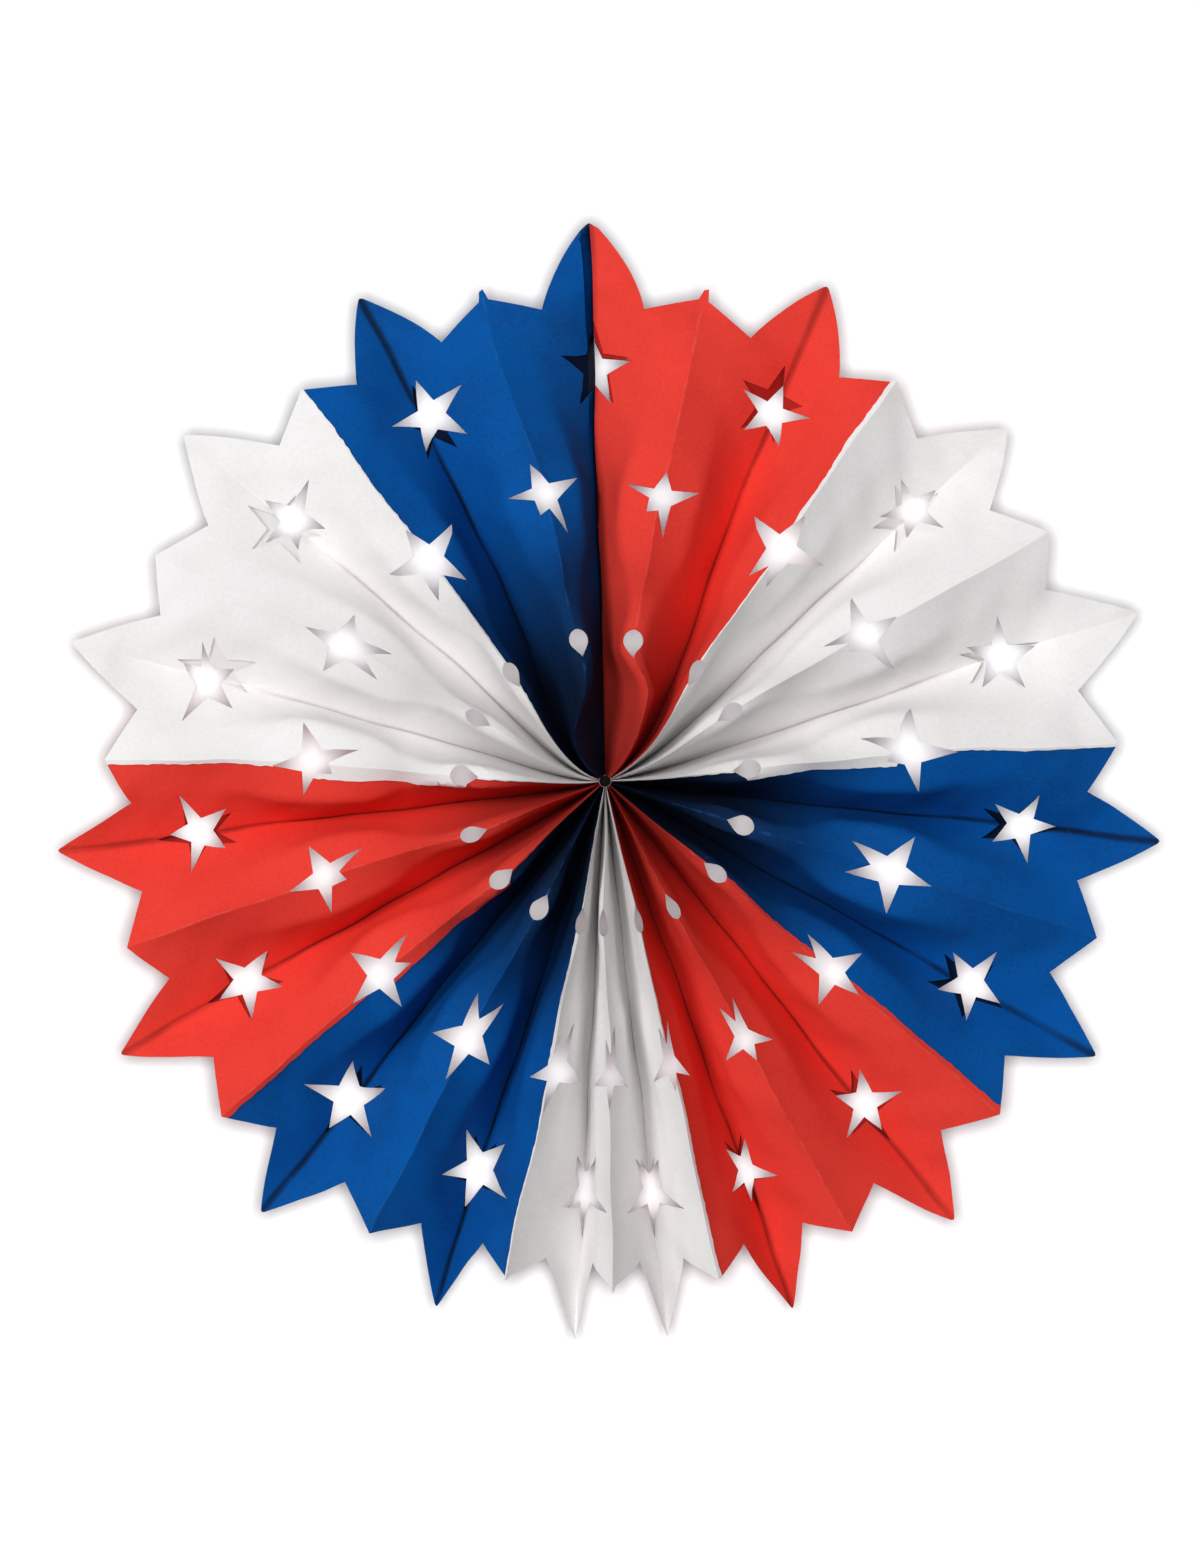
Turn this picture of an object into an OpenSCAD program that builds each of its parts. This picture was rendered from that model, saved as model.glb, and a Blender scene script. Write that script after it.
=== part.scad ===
// Pleated paper star fan with star and teardrop cut-outs.
// The front faces -Y, +Z is up, and the origin is the centre of the gathered hub.
// Nine coloured sheets of two plies are pleated, lapped into one long strip and
// drawn together along one edge, so that the strip opens into a full turn.
// Valley folds end in the 17 big tips and ridge folds end in the 17 small points.

/* [Outline] */
// Radius of the big tips, which stand on the valley folds
tip_r = 266; // [245:1:290]
// Radius of the small points, which stand on the ridge folds
point_r = 241; // [225:1:260]
// Radius of the notches halfway between a tip and a point
notch_r = 229; // [215:1:240]
// How far the sides of a big tip bulge outward
tip_bulge = 2; // [0:0.5:5]

/* [Pleats] */
// Width of one pleat face, from valley fold to ridge fold
pleat_w = 52.5; // [46:0.5:58]
// Depth that a pleat keeps where the fan is spread flattest
flat_depth = 6; // [3:0.5:12]
// Radius of the hole that the gathered edge leaves at the centre
hub_r = 3; // [2:0.5:6]
// Share of its room that the tightest pleat gives up at the bottom
gather = 0.5; // [0:0.05:0.7]
// Number of pleats over which the tight stretch eases off to each side
gather_ease = 1.45; // [0.8:0.05:3]
// Share by which the pleats at the top are spread wider
top_spread = 0.09; // [0:0.01:0.2]
// Angle of the closing seam, clockwise from straight up
seam_angle = -1; // [-10:0.5:10]

/* [Paper] */
// Thickness of one ply
paper_t = 0.2; // [0.1:0.05:0.4]
// Gap between the two plies of a sheet at the ridges
ply_gap = 0.15; // [0.05:0.05:0.3]
// How much deeper the back ply hangs in a valley at the rim
valley_slack = 3; // [1:0.5:5]
// Width of the tab by which a sheet laps the sheet before it
tab_w = 4; // [2:0.5:4.5]
// Room for the glue between two lapped sheets
glue_gap = 0.2; // [0.1:0.05:0.4]

/* [Cut-outs] */
// Distance from a big tip in to the centre of its star
outer_star_inset = 68.5; // [60:0.5:76]
// Radius of the stars near the big tips, in the front ply
outer_star_r = 20.5; // [14:0.5:21.5]
// How much less the same stars reach in the back ply
back_star_margin = 3.5; // [0.5:0.5:6]
// Distance from the centre out to the stars on the ridge folds
inner_star_at = 141.5; // [125:0.5:155]
// Radius of the stars on the ridge folds
inner_star_r = 20; // [14:0.5:21.5]
// Distance from the centre out to the teardrops on the ridge folds
teardrop_at = 66; // [55:0.5:80]
// Width of a teardrop
teardrop_w = 10; // [10:0.5:14]
// Length of a teardrop
teardrop_l = 16; // [15:0.5:24]

/* [Centre tie] */
// Clearance between the tie and the gathered edge
tie_clearance = 0.3; // [0.1:0.05:0.5]
// Length of the tie along the hub
tie_l = 46; // [20:1:52]

/* [Hidden] */

red = "#e8382c";
white = "#f4f2f1";
blue = "#0b4c96";
thread = "#d9d2c4";

valleys = 17;
sheets = 9;
sheet_folds = 4;
seam_fold = 2 * valleys;

// Inner radius of a five-pointed star, as a share of its outer radius
star_waist = 0.382;
// Longest stretch of a fold line that is drawn as one straight edge
rail_step = 30;
// Longest that the mitre of one ply may grow where a pleat is nearly closed
mitre_cap = 2;
// Smallest corner, in square millimetres, that counts as one
least_corner = 0.01;

outer_star_at = tip_r - outer_star_inset;

// Spread of the pleats round the fan

function spread_of(k) =
    1 + top_spread * cos(360 * (k + 0.5) / valleys)
    - gather * exp(-pow((k - (valleys - 1) / 2) / gather_ease, 2));

spread_sums = [
    for (k = 0, sum = 0; k <= valleys; sum = sum + spread_of(k), k = k + 1) sum
];

function valley_angle(k) =
    let (turn = floor(k / valleys), place = k - valleys * turn)
    seam_angle + 360 * turn + 360 * spread_sums[place] / spread_sums[valleys];

// Fold lines are numbered clockwise from the seam: even ones are valleys, odd ones ridges
function is_valley(fold) = fold % 2 == 0;

function fold_angle(fold) =
    is_valley(fold)
        ? valley_angle(fold / 2)
        : (valley_angle((fold - 1) / 2) + valley_angle((fold + 1) / 2)) / 2;

// Straight distance between a fold and the next one, at radius s
function face_chord(fold, s) = 2 * s * sin((fold_angle(fold + 1) - fold_angle(fold)) / 2);

// Depth between a fold and the next one: the paper is pleat_w wide whatever the spread
function face_depth(fold, s) =
    sqrt(pow(flat_depth, 2) + max(0, pow(pleat_w, 2) - pow(face_chord(fold, s), 2)));

function fold_y(fold, s) =
    (is_valley(fold) ? 1 : -1) * (face_depth(fold - 1, s) + face_depth(fold, s)) / 4;

// Thickness of one ply measured along Y, which grows as a pleat closes
function fold_t(fold, s) =
    let (
        chord = (face_chord(fold - 1, s) + face_chord(fold, s)) / 2,
        depth = (face_depth(fold - 1, s) + face_depth(fold, s)) / 2
    )
    min(mitre_cap, paper_t * sqrt(1 + pow(depth / chord, 2)));

// Stacking of plies and sheets

function first_fold(sheet) = sheet == 0 ? 0 : sheet_folds * sheet - 1;
function end_fold(sheet) = sheet_folds * sheet + sheet_folds - 1;

// Both plies of one sheet, and the glue under them
function lap_depth(fold, s) = 2 * fold_t(fold, s) + ply_gap + glue_gap;

function slack(fold, s) = is_valley(fold) ? valley_slack * s / tip_r : 0;

// Place of a ply along Y, measured from the plain fold surface
function layer_y(sheet, back, fold, s) =
    (back ? fold_t(fold, s) + ply_gap + slack(fold, s) : 0)
    - (sheet > 0 && fold == first_fold(sheet) ? lap_depth(fold, s) : 0)
    + (fold >= seam_fold ? lap_depth(fold, s) + slack(fold, s) : 0);

function fold_point(sheet, back, fold, s) =
    let (angle = fold_angle(fold))
    [s * sin(angle), fold_y(fold, s) + layer_y(sheet, back, fold, s), s * cos(angle)];

// Flat pattern of one pleat face: u runs from the valley fold to the ridge fold,
// and s runs outward from the hub. Half outlines of the holes run inward along s,
// and their x is the distance from the fold that they stand on

function reversed(list) = [for (k = [len(list) - 1:-1:0]) list[k]];

function rail_between(u, from, to) =
    let (parts = ceil(abs(to - from) / rail_step))
    [for (k = [1:1:parts - 1]) [u, from + (to - from) * k / parts]];

// Half of a star on a fold, from the outer arm to the inner notch
function half_star(r, at) = [
    for (k = [0:5])
        let (reach = k % 2 == 0 ? r : r * star_waist)
        [reach * sin(36 * k), at + reach * cos(36 * k)]
];

// Half of a teardrop on a fold, from the round end to the point
function half_teardrop() =
    let (
        r = teardrop_w / 2,
        centre = teardrop_at + teardrop_l / 2 - r,
        tangent = 180 - acos(r / (teardrop_l - r))
    )
    concat(
        [for (k = [0:3]) [r * sin(tangent * k / 3), centre + r * cos(tangent * k / 3)]],
        [[0, teardrop_at - teardrop_l / 2]]
    );

// Radius at which a half outline first comes x away from its fold
function crossing(half, x) =
    let (
        k = [for (k = [0:len(half) - 2]) if (half[k + 1].x >= x) k][0],
        part = (x - half[k].x) / (half[k + 1].x - half[k].x)
    )
    half[k].y + (half[k + 1].y - half[k].y) * part;

// Side of a big tip, from the notch to the tip, bowed outward
function tip_side() =
    let (
        notch = [pleat_w / 2, notch_r],
        tip = [0, tip_r],
        way = tip - notch,
        out = [way.y, -way.x] / norm(way)
    )
    [for (f = [0:3]) notch + way * f / 3 + out * tip_bulge * 4 * f / 3 * (1 - f / 3)];

outer_star = half_star(outer_star_r, outer_star_at);
back_star = half_star(outer_star_r - back_star_margin, outer_star_at);
ridge_holes = [half_teardrop(), half_star(inner_star_r, inner_star_at)];

// Ends of the stretches of paper along a ridge fold, between the hub, the holes and
// the rim: each is a radius on the fold and a radius at the edge of the tab
rim_at_tab = point_r - (point_r - notch_r) * tab_w / (pleat_w / 2);
stretch_starts = concat(
    [[hub_r, hub_r]],
    [for (hole = ridge_holes) [hole[0].y, crossing(hole, tab_w)]]
);
stretch_ends = concat(
    [for (hole = ridge_holes) [hole[len(hole) - 1].y, crossing(reversed(hole), tab_w)]],
    [[point_r, rim_at_tab]]
);

// Rungs across the width of the tab: radius on the fold, radius at the tab's edge, stretch
rungs = [
    for (k = [0:len(stretch_starts) - 1])
        let (
            from = stretch_starts[k],
            to = stretch_ends[k],
            parts = ceil((to[0] - from[0]) / rail_step)
        )
        for (part = [0:parts])
            let (place = from + (to - from) * part / parts)
            [place[0], place[1], k]
];
rung_count = len(rungs);

hole_sides = [
    for (hole = ridge_holes) [
        for (p = reversed(hole)) if (p.x > tab_w) [pleat_w - p.x, p.y]
    ]
];
rim_side = concat(tip_side(), rail_between(0, tip_r, outer_star[0].y));
hub_side = concat(rail_between(0, outer_star[5].y, hub_r), [[0, hub_r]]);

pattern = concat(
    [for (rung = rungs) [pleat_w, rung[0]]],
    [for (rung = rungs) [pleat_w - tab_w, rung[1]]],
    hole_sides[0],
    hole_sides[1],
    rim_side,
    outer_star,
    hub_side,
    back_star
);
corners = len(pattern);

// Numbers of the corners in each part of the pattern

function run(from, list) = [for (k = [0:1:len(list) - 1]) from + k];
function after(numbers) = numbers[len(numbers) - 1] + 1;

teardrop_run = run(2 * rung_count, hole_sides[0]);
star_run = run(after(teardrop_run), hole_sides[1]);
rim_run = run(after(star_run), rim_side);
outer_star_run = run(after(rim_run), outer_star);
hub_run = run(after(outer_star_run), hub_side);
back_star_run = run(after(hub_run), back_star);

function ridge_run(stretch) = [for (k = [0:rung_count - 1]) if (rungs[k][2] == stretch) k];
function tab_run(stretch) = [for (k = ridge_run(stretch)) rung_count + k];
function round_fold(stretch) =
    let (tab = tab_run(stretch))
    concat([tab[0]], ridge_run(stretch), [tab[len(tab) - 1]]);

// Loops round the face, anticlockwise: inside the tab's edge, then for a front ply, for
// a back ply, and for the back ply beside the seam, whose star isn't cut
inner_loop = concat(
    tab_run(0), teardrop_run, tab_run(1), star_run, tab_run(2),
    rim_run, outer_star_run, hub_run
);
ridge_loop = concat(
    round_fold(0), teardrop_run, round_fold(1), star_run, round_fold(2), rim_run
);
front_loop = concat(ridge_loop, outer_star_run, hub_run);
back_loop = concat(
    ridge_loop, [outer_star_run[0]], back_star_run, [outer_star_run[5]], hub_run
);
uncut_loop = concat(
    ridge_loop,
    [outer_star_run[0], back_star_run[0], back_star_run[5], outer_star_run[5]],
    hub_run
);

// Triangles of the flat pattern, found by cutting off the corner with the shortest base

function corner_area(a, b, c) = ((b.x - a.x) * (c.y - a.y) - (b.y - a.y) * (c.x - a.x)) / 2;

function covers(a, b, c, p) =
    corner_area(a, b, p) >= 0 && corner_area(b, c, p) >= 0 && corner_area(c, a, p) >= 0;

function is_ear(loop, before, at, after) =
    corner_area(pattern[before], pattern[at], pattern[after]) > least_corner
    && len([
        for (k = loop)
            if (k != before && k != at && k != after
                && covers(pattern[before], pattern[at], pattern[after], pattern[k])) k
    ]) == 0;

function ears(loop) =
    let (n = len(loop))
    [
        for (k = [0:n - 1])
            let (before = loop[(k + n - 1) % n], after = loop[(k + 1) % n])
            if (is_ear(loop, before, loop[k], after))
                [norm(pattern[after] - pattern[before]), k, before, after]
    ];

function triangles(loop) =
    len(loop) == 3
        ? [loop]
        : let (
            found = ears(loop),
            shortest = min([for (ear = found) ear[0]]),
            ear = [for (one = found) if (one[0] == shortest) one][0]
        )
        concat(
            [[ear[2], loop[ear[1]], ear[3]]],
            triangles([for (k = [0:len(loop) - 1]) if (k != ear[1]) loop[k]])
        );

// Rungs that are followed by another one on the same stretch of paper
joined_rungs = [for (k = [0:rung_count - 2]) if (rungs[k][2] == rungs[k + 1][2]) k];

function rung_triangles(ridge, tab) = [
    for (k = joined_rungs)
        each [
            [tab + k, ridge + k, ridge + k + 1],
            [tab + k, ridge + k + 1, tab + k + 1]
        ]
];

whole_star_loop = reversed(outer_star_run);
front_triangles = concat(triangles(inner_loop), rung_triangles(0, rung_count));
back_triangles = concat(front_triangles, triangles(concat(whole_star_loop, back_star_run)));
uncut_triangles = concat(
    front_triangles,
    triangles(concat(whole_star_loop, [back_star_run[0], back_star_run[5]]))
);

// Only the face before the seam has a whole star in its back ply
function is_uncut(back, fold) = back && fold == seam_fold - 1;

function triangles_of(back, fold) =
    is_uncut(back, fold) ? uncut_triangles : back ? back_triangles : front_triangles;

function loop_of(back, fold) =
    is_uncut(back, fold) ? uncut_loop : back ? back_loop : front_loop;

// A ply is a solid between its front and its back surface. Each pleat face gives
// its corners on the front surface, then as many on the back surface

function face_points(sheet, back, fold) =
    let (
        ways = [for (p = pattern) is_valley(fold) ? p.x / pleat_w : 1 - p.x / pleat_w],
        front = [
            for (k = [0:corners - 1])
                fold_point(sheet, back, fold, pattern[k].y) * (1 - ways[k])
                + fold_point(sheet, back, fold + 1, pattern[k].y) * ways[k]
        ],
        depths = [
            for (k = [0:corners - 1])
                fold_t(fold, pattern[k].y) * (1 - ways[k])
                + fold_t(fold + 1, pattern[k].y) * ways[k]
        ]
    )
    concat(front, [for (k = [0:corners - 1]) front[k] + [0, depths[k], 0]]);

function turned(triangle) = [triangle[2], triangle[1], triangle[0]];

// Edge between the front corners a and b and the back corners behind them
function paper_edge(a, b, back_a, back_b) = [[a, b, back_a], [b, back_b, back_a]];

function lie_at(u, a, b) = pattern[a].x == u && pattern[b].x == u;

// Folds inside a sheet stay closed, and a fold that carries a tab is closed by the tab
function is_open(sheet, back, fold, a, b) =
    let (
        valley_fold = is_valley(fold) ? fold : fold + 1,
        ridge_fold = is_valley(fold) ? fold + 1 : fold,
        across_star = is_uncut(back, fold) && a == back_star_run[0] && b == back_star_run[5]
    )
    lie_at(pleat_w, a, b) ? ridge_fold == end_fold(sheet)
    : lie_at(0, a, b) ? valley_fold == 0 || across_star
    : true;

function face_skin(sheet, back, fold) =
    let (
        base = (fold - first_fold(sheet)) * 2 * corners,
        faces = triangles_of(back, fold),
        loop = loop_of(back, fold),
        skin = concat(
            [for (t = faces) turned([base + t[0], base + t[1], base + t[2]])],
            [for (t = faces) [for (k = t) base + corners + k]],
            [
                for (k = [0:len(loop) - 1])
                    let (a = loop[k], b = loop[(k + 1) % len(loop)])
                    if (is_open(sheet, back, fold, a, b))
                        each paper_edge(base + a, base + b, base + corners + a, base + corners + b)
            ]
        )
    )
    is_valley(fold) ? skin : [for (t = skin) turned(t)];

// The tab runs along the first fold of a sheet and lies on the last face before it

function tab_points(sheet, back) =
    let (
        fold = first_fold(sheet),
        way = tab_w / pleat_w,
        front = [
            for (rung = rungs)
                let (s = rung[1])
                fold_point(sheet - 1, false, fold - 1, s) * way
                + fold_point(sheet - 1, false, fold, s) * (1 - way)
                + [0, layer_y(sheet, back, fold, s), 0]
        ]
    )
    concat(front, [
        for (k = [0:rung_count - 1]) front[k] + [0, fold_t(fold, rungs[k][1]), 0]
    ]);

function tab_skin(sheet) =
    let (
        edge = (end_fold(sheet) - first_fold(sheet)) * 2 * corners,
        back_edge = edge + rung_count
    )
    concat(
        [for (t = rung_triangles(0, edge)) turned(t)],
        rung_triangles(corners, back_edge),
        [
            for (k = joined_rungs)
                each concat(
                    paper_edge(edge + k + 1, edge + k, back_edge + k + 1, back_edge + k),
                    k == 0 || rungs[k - 1][2] < rungs[k][2]
                        ? paper_edge(edge + k, k, back_edge + k, corners + k) : [],
                    k + 2 == rung_count || rungs[k + 2][2] > rungs[k][2]
                        ? paper_edge(k + 1, edge + k + 1, corners + k + 1, back_edge + k + 1) : []
                )
        ]
    );

module ply(sheet, back) {
    folds = [first_fold(sheet):end_fold(sheet) - 1];
    has_tab = sheet > 0;
    polyhedron(
        points = concat(
            [for (fold = folds) each face_points(sheet, back, fold)],
            has_tab ? tab_points(sheet, back) : []
        ),
        faces = concat(
            [for (fold = folds) each face_skin(sheet, back, fold)],
            has_tab ? tab_skin(sheet) : []
        )
    );
}

module red_sheet(sheet, back) {
    color(red) ply(sheet, back);
}

module white_sheet(sheet, back) {
    color(white) ply(sheet, back);
}

module blue_sheet(sheet, back) {
    color(blue) ply(sheet, back);
}

// Wound thread that draws the gathered edge together, with a domed knot at each end
module centre_tie() {
    r = hub_r - tie_clearance;
    color(thread)
        rotate([90, 0, 0])
            rotate_extrude($fn = 48)
                intersection() {
                    union() {
                        translate([0, -tie_l / 2 + r]) square([r, tie_l - 2 * r]);
                        for (end = [-1, 1]) translate([0, end * (tie_l / 2 - r)]) circle(r, $fn = 32);
                    }
                    translate([0, -tie_l / 2]) square([r, tie_l]);
                }
}

red_sheet(0, false);  // red_1_front
red_sheet(0, true);  // red_1_back
white_sheet(1, false);  // white_1_front
white_sheet(1, true);  // white_1_back
blue_sheet(2, false);  // blue_1_front
blue_sheet(2, true);  // blue_1_back
red_sheet(3, false);  // red_2_front
red_sheet(3, true);  // red_2_back
white_sheet(4, false);  // white_2_front
white_sheet(4, true);  // white_2_back
blue_sheet(5, false);  // blue_2_front
blue_sheet(5, true);  // blue_2_back
red_sheet(6, false);  // red_3_front
red_sheet(6, true);  // red_3_back
white_sheet(7, false);  // white_3_front
white_sheet(7, true);  // white_3_back
blue_sheet(8, false);  // blue_3_front
blue_sheet(8, true);  // blue_3_back
centre_tie();
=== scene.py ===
"""Looks of the pleated paper star fan: nine sheets of two plies, and the tie at the hub.

Every sheet is cut flat, with its stars, teardrops and pointed rim, and is then folded
into the fan by one field of fold lines, so that neighbouring plies keep their gaps.
Lengths are in millimetres and angles in degrees, except where a line says otherwise.
"""

import logging
import math
from dataclasses import dataclass, field, replace
from enum import Enum
import bpy
import numpy as np
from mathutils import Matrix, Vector
from mathutils.geometry import delaunay_2d_cdt


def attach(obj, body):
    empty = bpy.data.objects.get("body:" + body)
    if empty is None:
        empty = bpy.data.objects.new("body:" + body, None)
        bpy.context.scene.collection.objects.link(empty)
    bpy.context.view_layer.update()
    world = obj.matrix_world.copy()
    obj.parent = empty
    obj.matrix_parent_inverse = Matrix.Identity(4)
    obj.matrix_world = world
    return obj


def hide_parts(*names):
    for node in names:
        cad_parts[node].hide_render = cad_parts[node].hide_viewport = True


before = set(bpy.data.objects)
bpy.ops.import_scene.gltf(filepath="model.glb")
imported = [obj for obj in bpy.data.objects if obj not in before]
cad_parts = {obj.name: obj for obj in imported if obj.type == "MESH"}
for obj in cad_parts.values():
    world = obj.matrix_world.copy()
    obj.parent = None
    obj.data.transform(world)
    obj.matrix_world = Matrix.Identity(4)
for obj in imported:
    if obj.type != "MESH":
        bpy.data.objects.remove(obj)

log = logging.getLogger("paper_star_fan")

Ramp = tuple[float, float]
Corner = tuple[float, float]
Triple = tuple[float, float, float]

MM = 0.001
# Share of full light that a lamp of power 1 throws.
POWER_UNIT = 0.1
SHEETS = 9
TURN_FOLDS = 34
# Each table of folds starts this many folds before the seam and ends this many past the turn.
LEAD_FOLDS, TRAIL_FOLDS = 4, 8
# Steps of a face's profile from ridge to valley, and the radii at which it is worked out.
PROFILE_STEPS = 40
TABLE_STEP, TABLE_END = 2.0, 300.0
# The notch between two arms of a star lies at this share of their sum.
NOTCH_SHARE = 0.236


class Hue(Enum):
    """Colour of a sheet, as the record's slot names it."""

    RED = "red"
    WHITE = "white"
    BLUE = "blue"


class Side(Enum):
    """Which of the two plies of a sheet a piece is."""

    FRONT = "front"
    BACK = "back"


def ease(value: np.ndarray, start: float = 0.0, run: float = 1.0) -> np.ndarray:
    """Ease from 0 to 1.

    Args:
        value: Any numbers.
        start: Number up to which the answer is 0.
        run: How much further on it reaches 1.

    Returns:
        The eased numbers.
    """
    x = np.clip((value - start) / run, 0.0, 1.0)
    return x * x * (3 - 2 * x)


def mound(value: np.ndarray, middle: float, width: float) -> np.ndarray:
    """Bell curve that is 1 at its middle and fades over its width."""
    return np.exp(-(((value - middle) / width) ** 2))


@dataclass(frozen=True)
class FanSizes:
    """Sizes of the fan, as the CAD has them."""

    tip_r: float = 266.0
    point_r: float = 241.0
    notch_r: float = 229.0
    pleat_w: float = 52.5
    flat_depth: float = 6.0
    hub_r: float = 3.0
    gather: float = 0.5
    gather_ease: float = 1.45
    top_spread: float = 0.09
    seam_angle: float = -1.0
    paper_t: float = 0.2
    ply_gap: float = 0.15
    valley_slack: float = 3.0
    glue_gap: float = 0.2
    outer_star_at: float = 197.5
    outer_star_r: float = 20.5
    teardrop_at: float = 66.0
    valleys: int = 17
    star_waist: float = 0.382
    mitre_cap: float = 2.0


@dataclass(frozen=True)
class Handwork:
    """How far each fold strays from the even fan, clockwise from the top, as the photo shows."""

    tip_turn: tuple[float, ...] = (
        -0.5, 0.3, 0.2, -0.4, -0.1, 0.4, 0.9, -0.1, -0.7,
        -0.7, 0.4, 1.2, 1.6, 0.8, -0.6, -0.1, -0.9,
    )
    point_turn: tuple[float, ...] = (
        0.2, -0.3, 0.1, 1.2, 0.1, 0.2, 0.8, -0.3, 0.2,
        0.7, 0.0, 0.5, 0.3, -0.9, -0.6, 0.4, -0.9,
    )
    tip_reach: tuple[float, ...] = (
        3, -6, -10, 2, 2, 4, 3.5, 4, 4, 4, 0, -1, 1, -1, -2, -5, -6,
    )
    point_reach: tuple[float, ...] = (
        -7, -7, 2, 5, 6, 6, 4, 2, -0.5, -1, 2, 2, 0, -3, -1, -6, -4,
    )
    # Near the hub, the folds beside the seam swing: most, fade by radius, and width by angle.
    swing_right: Triple = (45.0, 45.0, 60.0)
    swing_left: Triple = (58.0, 28.0, 70.0)
    crest: tuple[float, ...] = (
        1.0, 0.55, 0.75, 0.95, 1.4, 0.75, 0.4, 0.2, 0.28,
        0.3, 0.9, 1.05, 0.8, 1.25, 0.7, 0.65, 0.9,
    )
    wander: float = 0.5
    buckle: float = 1.3
    seam_dive: float = 9.0
    edge_curl: float = 3.0
    tip_blunt: float = 1.8
    seam_blunt: float = 5.0
    bulge: tuple[float, ...] = (
        2.5, 1.5, 0.3, 0, 0, 0, 0, 0, -1.5, -1.5, 0, 0, 0, 0, 0, 0.3, 1.0,
    )
    drop_aside: tuple[float, ...] = (
        -0.6, -3.5, -3.7, -1.5, -0.5, -0.5, 0.9, -0.6, 1.7,
        -1.2, -0.2, -1.9, -2.2, 0, 2.1, 1.2, 4.2,
    )
    star_aside: tuple[float, ...] = (
        -1.0, -0.5, -1.8, -3.0, -0.4, 0.1, 0.2, -0.5, -0.5,
        -1.5, 1.2, 1.2, 0.5, 2.4, 2.5, -0.8, 6.2,
    )
    # Where the swing of the nearest ridges starts to end, and over what length.
    pinch_right: Ramp = (46.0, 20.0)
    pinch_left: Ramp = (22.0, 26.0)
    # Outer and inner width of the lap at the start of each sheet but the first.
    laps: tuple[tuple[float, float], ...] = (
        (2.5, 1.2), (-1.5, -6.5), (3.4, 2.6), (2.4, 1.2),
        (-1.2, -3.0), (3.0, 7.5), (2.6, 8.0), (-1.0, -1.2),
    )
    drop_l: float = 13.5
    drop_w: float = 9.6
    seed: int = 17
    # Radii below which a lap has its inner width and its narrow foot, and how it is cut.
    lap_inner_r: float = 140.0
    lap_foot_r: float = 67.0
    lap_foot_w: float = 0.9
    lap_step: float = 2.5
    lap_least: float = 0.5
    lap_ragged: float = 0.35
    back_lap: float = 0.6
    # Slivers of paper left at some small points, by fold.
    slivers: tuple[tuple[int, float], ...] = ((1, 5.0), (33, 4.5), (3, 1.5), (17, 2.5), (19, 1.5))
    tip_flat: float = 0.45
    star_grown: float = 0.8
    star_jitter: float = 0.9
    star_twist: float = 3.0
    drop_out: float = 1.0
    # Halves of the star and the teardrop that the first sheet's edge cuts through.
    seam_star: tuple[Corner, ...] = ((-1, 121), (1.6, 124), (2.8, 136), (0.4, 147), (-1, 147))
    seam_drop: tuple[Corner, ...] = ((-1, 61.5), (2.6, 64), (2.2, 70), (-1, 71.5))
    # Where along the radius each effect starts, and over what length it comes in.
    stray_ramp: Ramp = (0.0, 120.0)
    wander_ramp: Ramp = (20.0, 90.0)
    drop_ramp: Ramp = (22.0, 45.0)
    star_ramp: Ramp = (72.0, 60.0)
    rim_ramp: Ramp = (150.0, 75.0)
    fine_ramp: Ramp = (90.0, 60.0)
    loose_ramp: Ramp = (170.0, 80.0)
    dive_ramp: Ramp = (25.0, 50.0)
    curl_ramp: Ramp = (60.0, 90.0)
    # Waves of the folds and faces: height, length, and what a draw adds to the length.
    sway_waves: tuple[Triple, Triple] = ((1.0, 90.0, 60.0), (0.5, 37.0, 20.0))
    bow_waves: tuple[Triple, Triple] = ((0.7, 110.0, 60.0), (0.35, 60.0, 40.0))
    bow_level: float = 0.35
    # Finest wave: height, length and slant.
    fine_wave: Triple = (0.16, 27.0, 1.3)
    sway_least_r: float = 20.0
    rim_loose: float = 0.9
    buckle_share: float = 0.05
    swing_from: float = 2.0
    pinch_within: float = 16.0
    dive_width: float = 0.085
    dive_steep: float = 1.3
    curl_width: float = 0.8
    curl_power: float = 1.5

    def lap_width(self, sheet: int, s: float) -> float:
        """Width of the glued lap at the start of a sheet.

        Args:
            sheet: Number of the sheet.
            s: Radius in the flat paper.

        Returns:
            The width. Below zero, it is the sheet before that laps over this one.
        """
        outer, inner = self.laps[sheet - 1]
        if s > self.lap_foot_r:
            return outer if s > self.lap_inner_r else inner
        return math.copysign(min(abs(inner), self.lap_foot_w), inner)


@dataclass(frozen=True)
class CrestShape:
    """How a ridge is rounded off where its holes weaken it."""

    # Radius, width and strength of the flattening round each hole.
    star: Triple = (143.0, 34.0, 0.46)
    teardrop: Triple = (67.0, 22.0, 0.62)
    least: float = 0.06
    most: float = 0.85
    half_width: float = 5.5
    widening: float = 15.5
    widening_ramp: Ramp = (78.0, 36.0)
    face_share: float = 0.72
    softness: float = 7.0
    soft_share: float = 0.9
    rounds: int = 24


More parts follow.
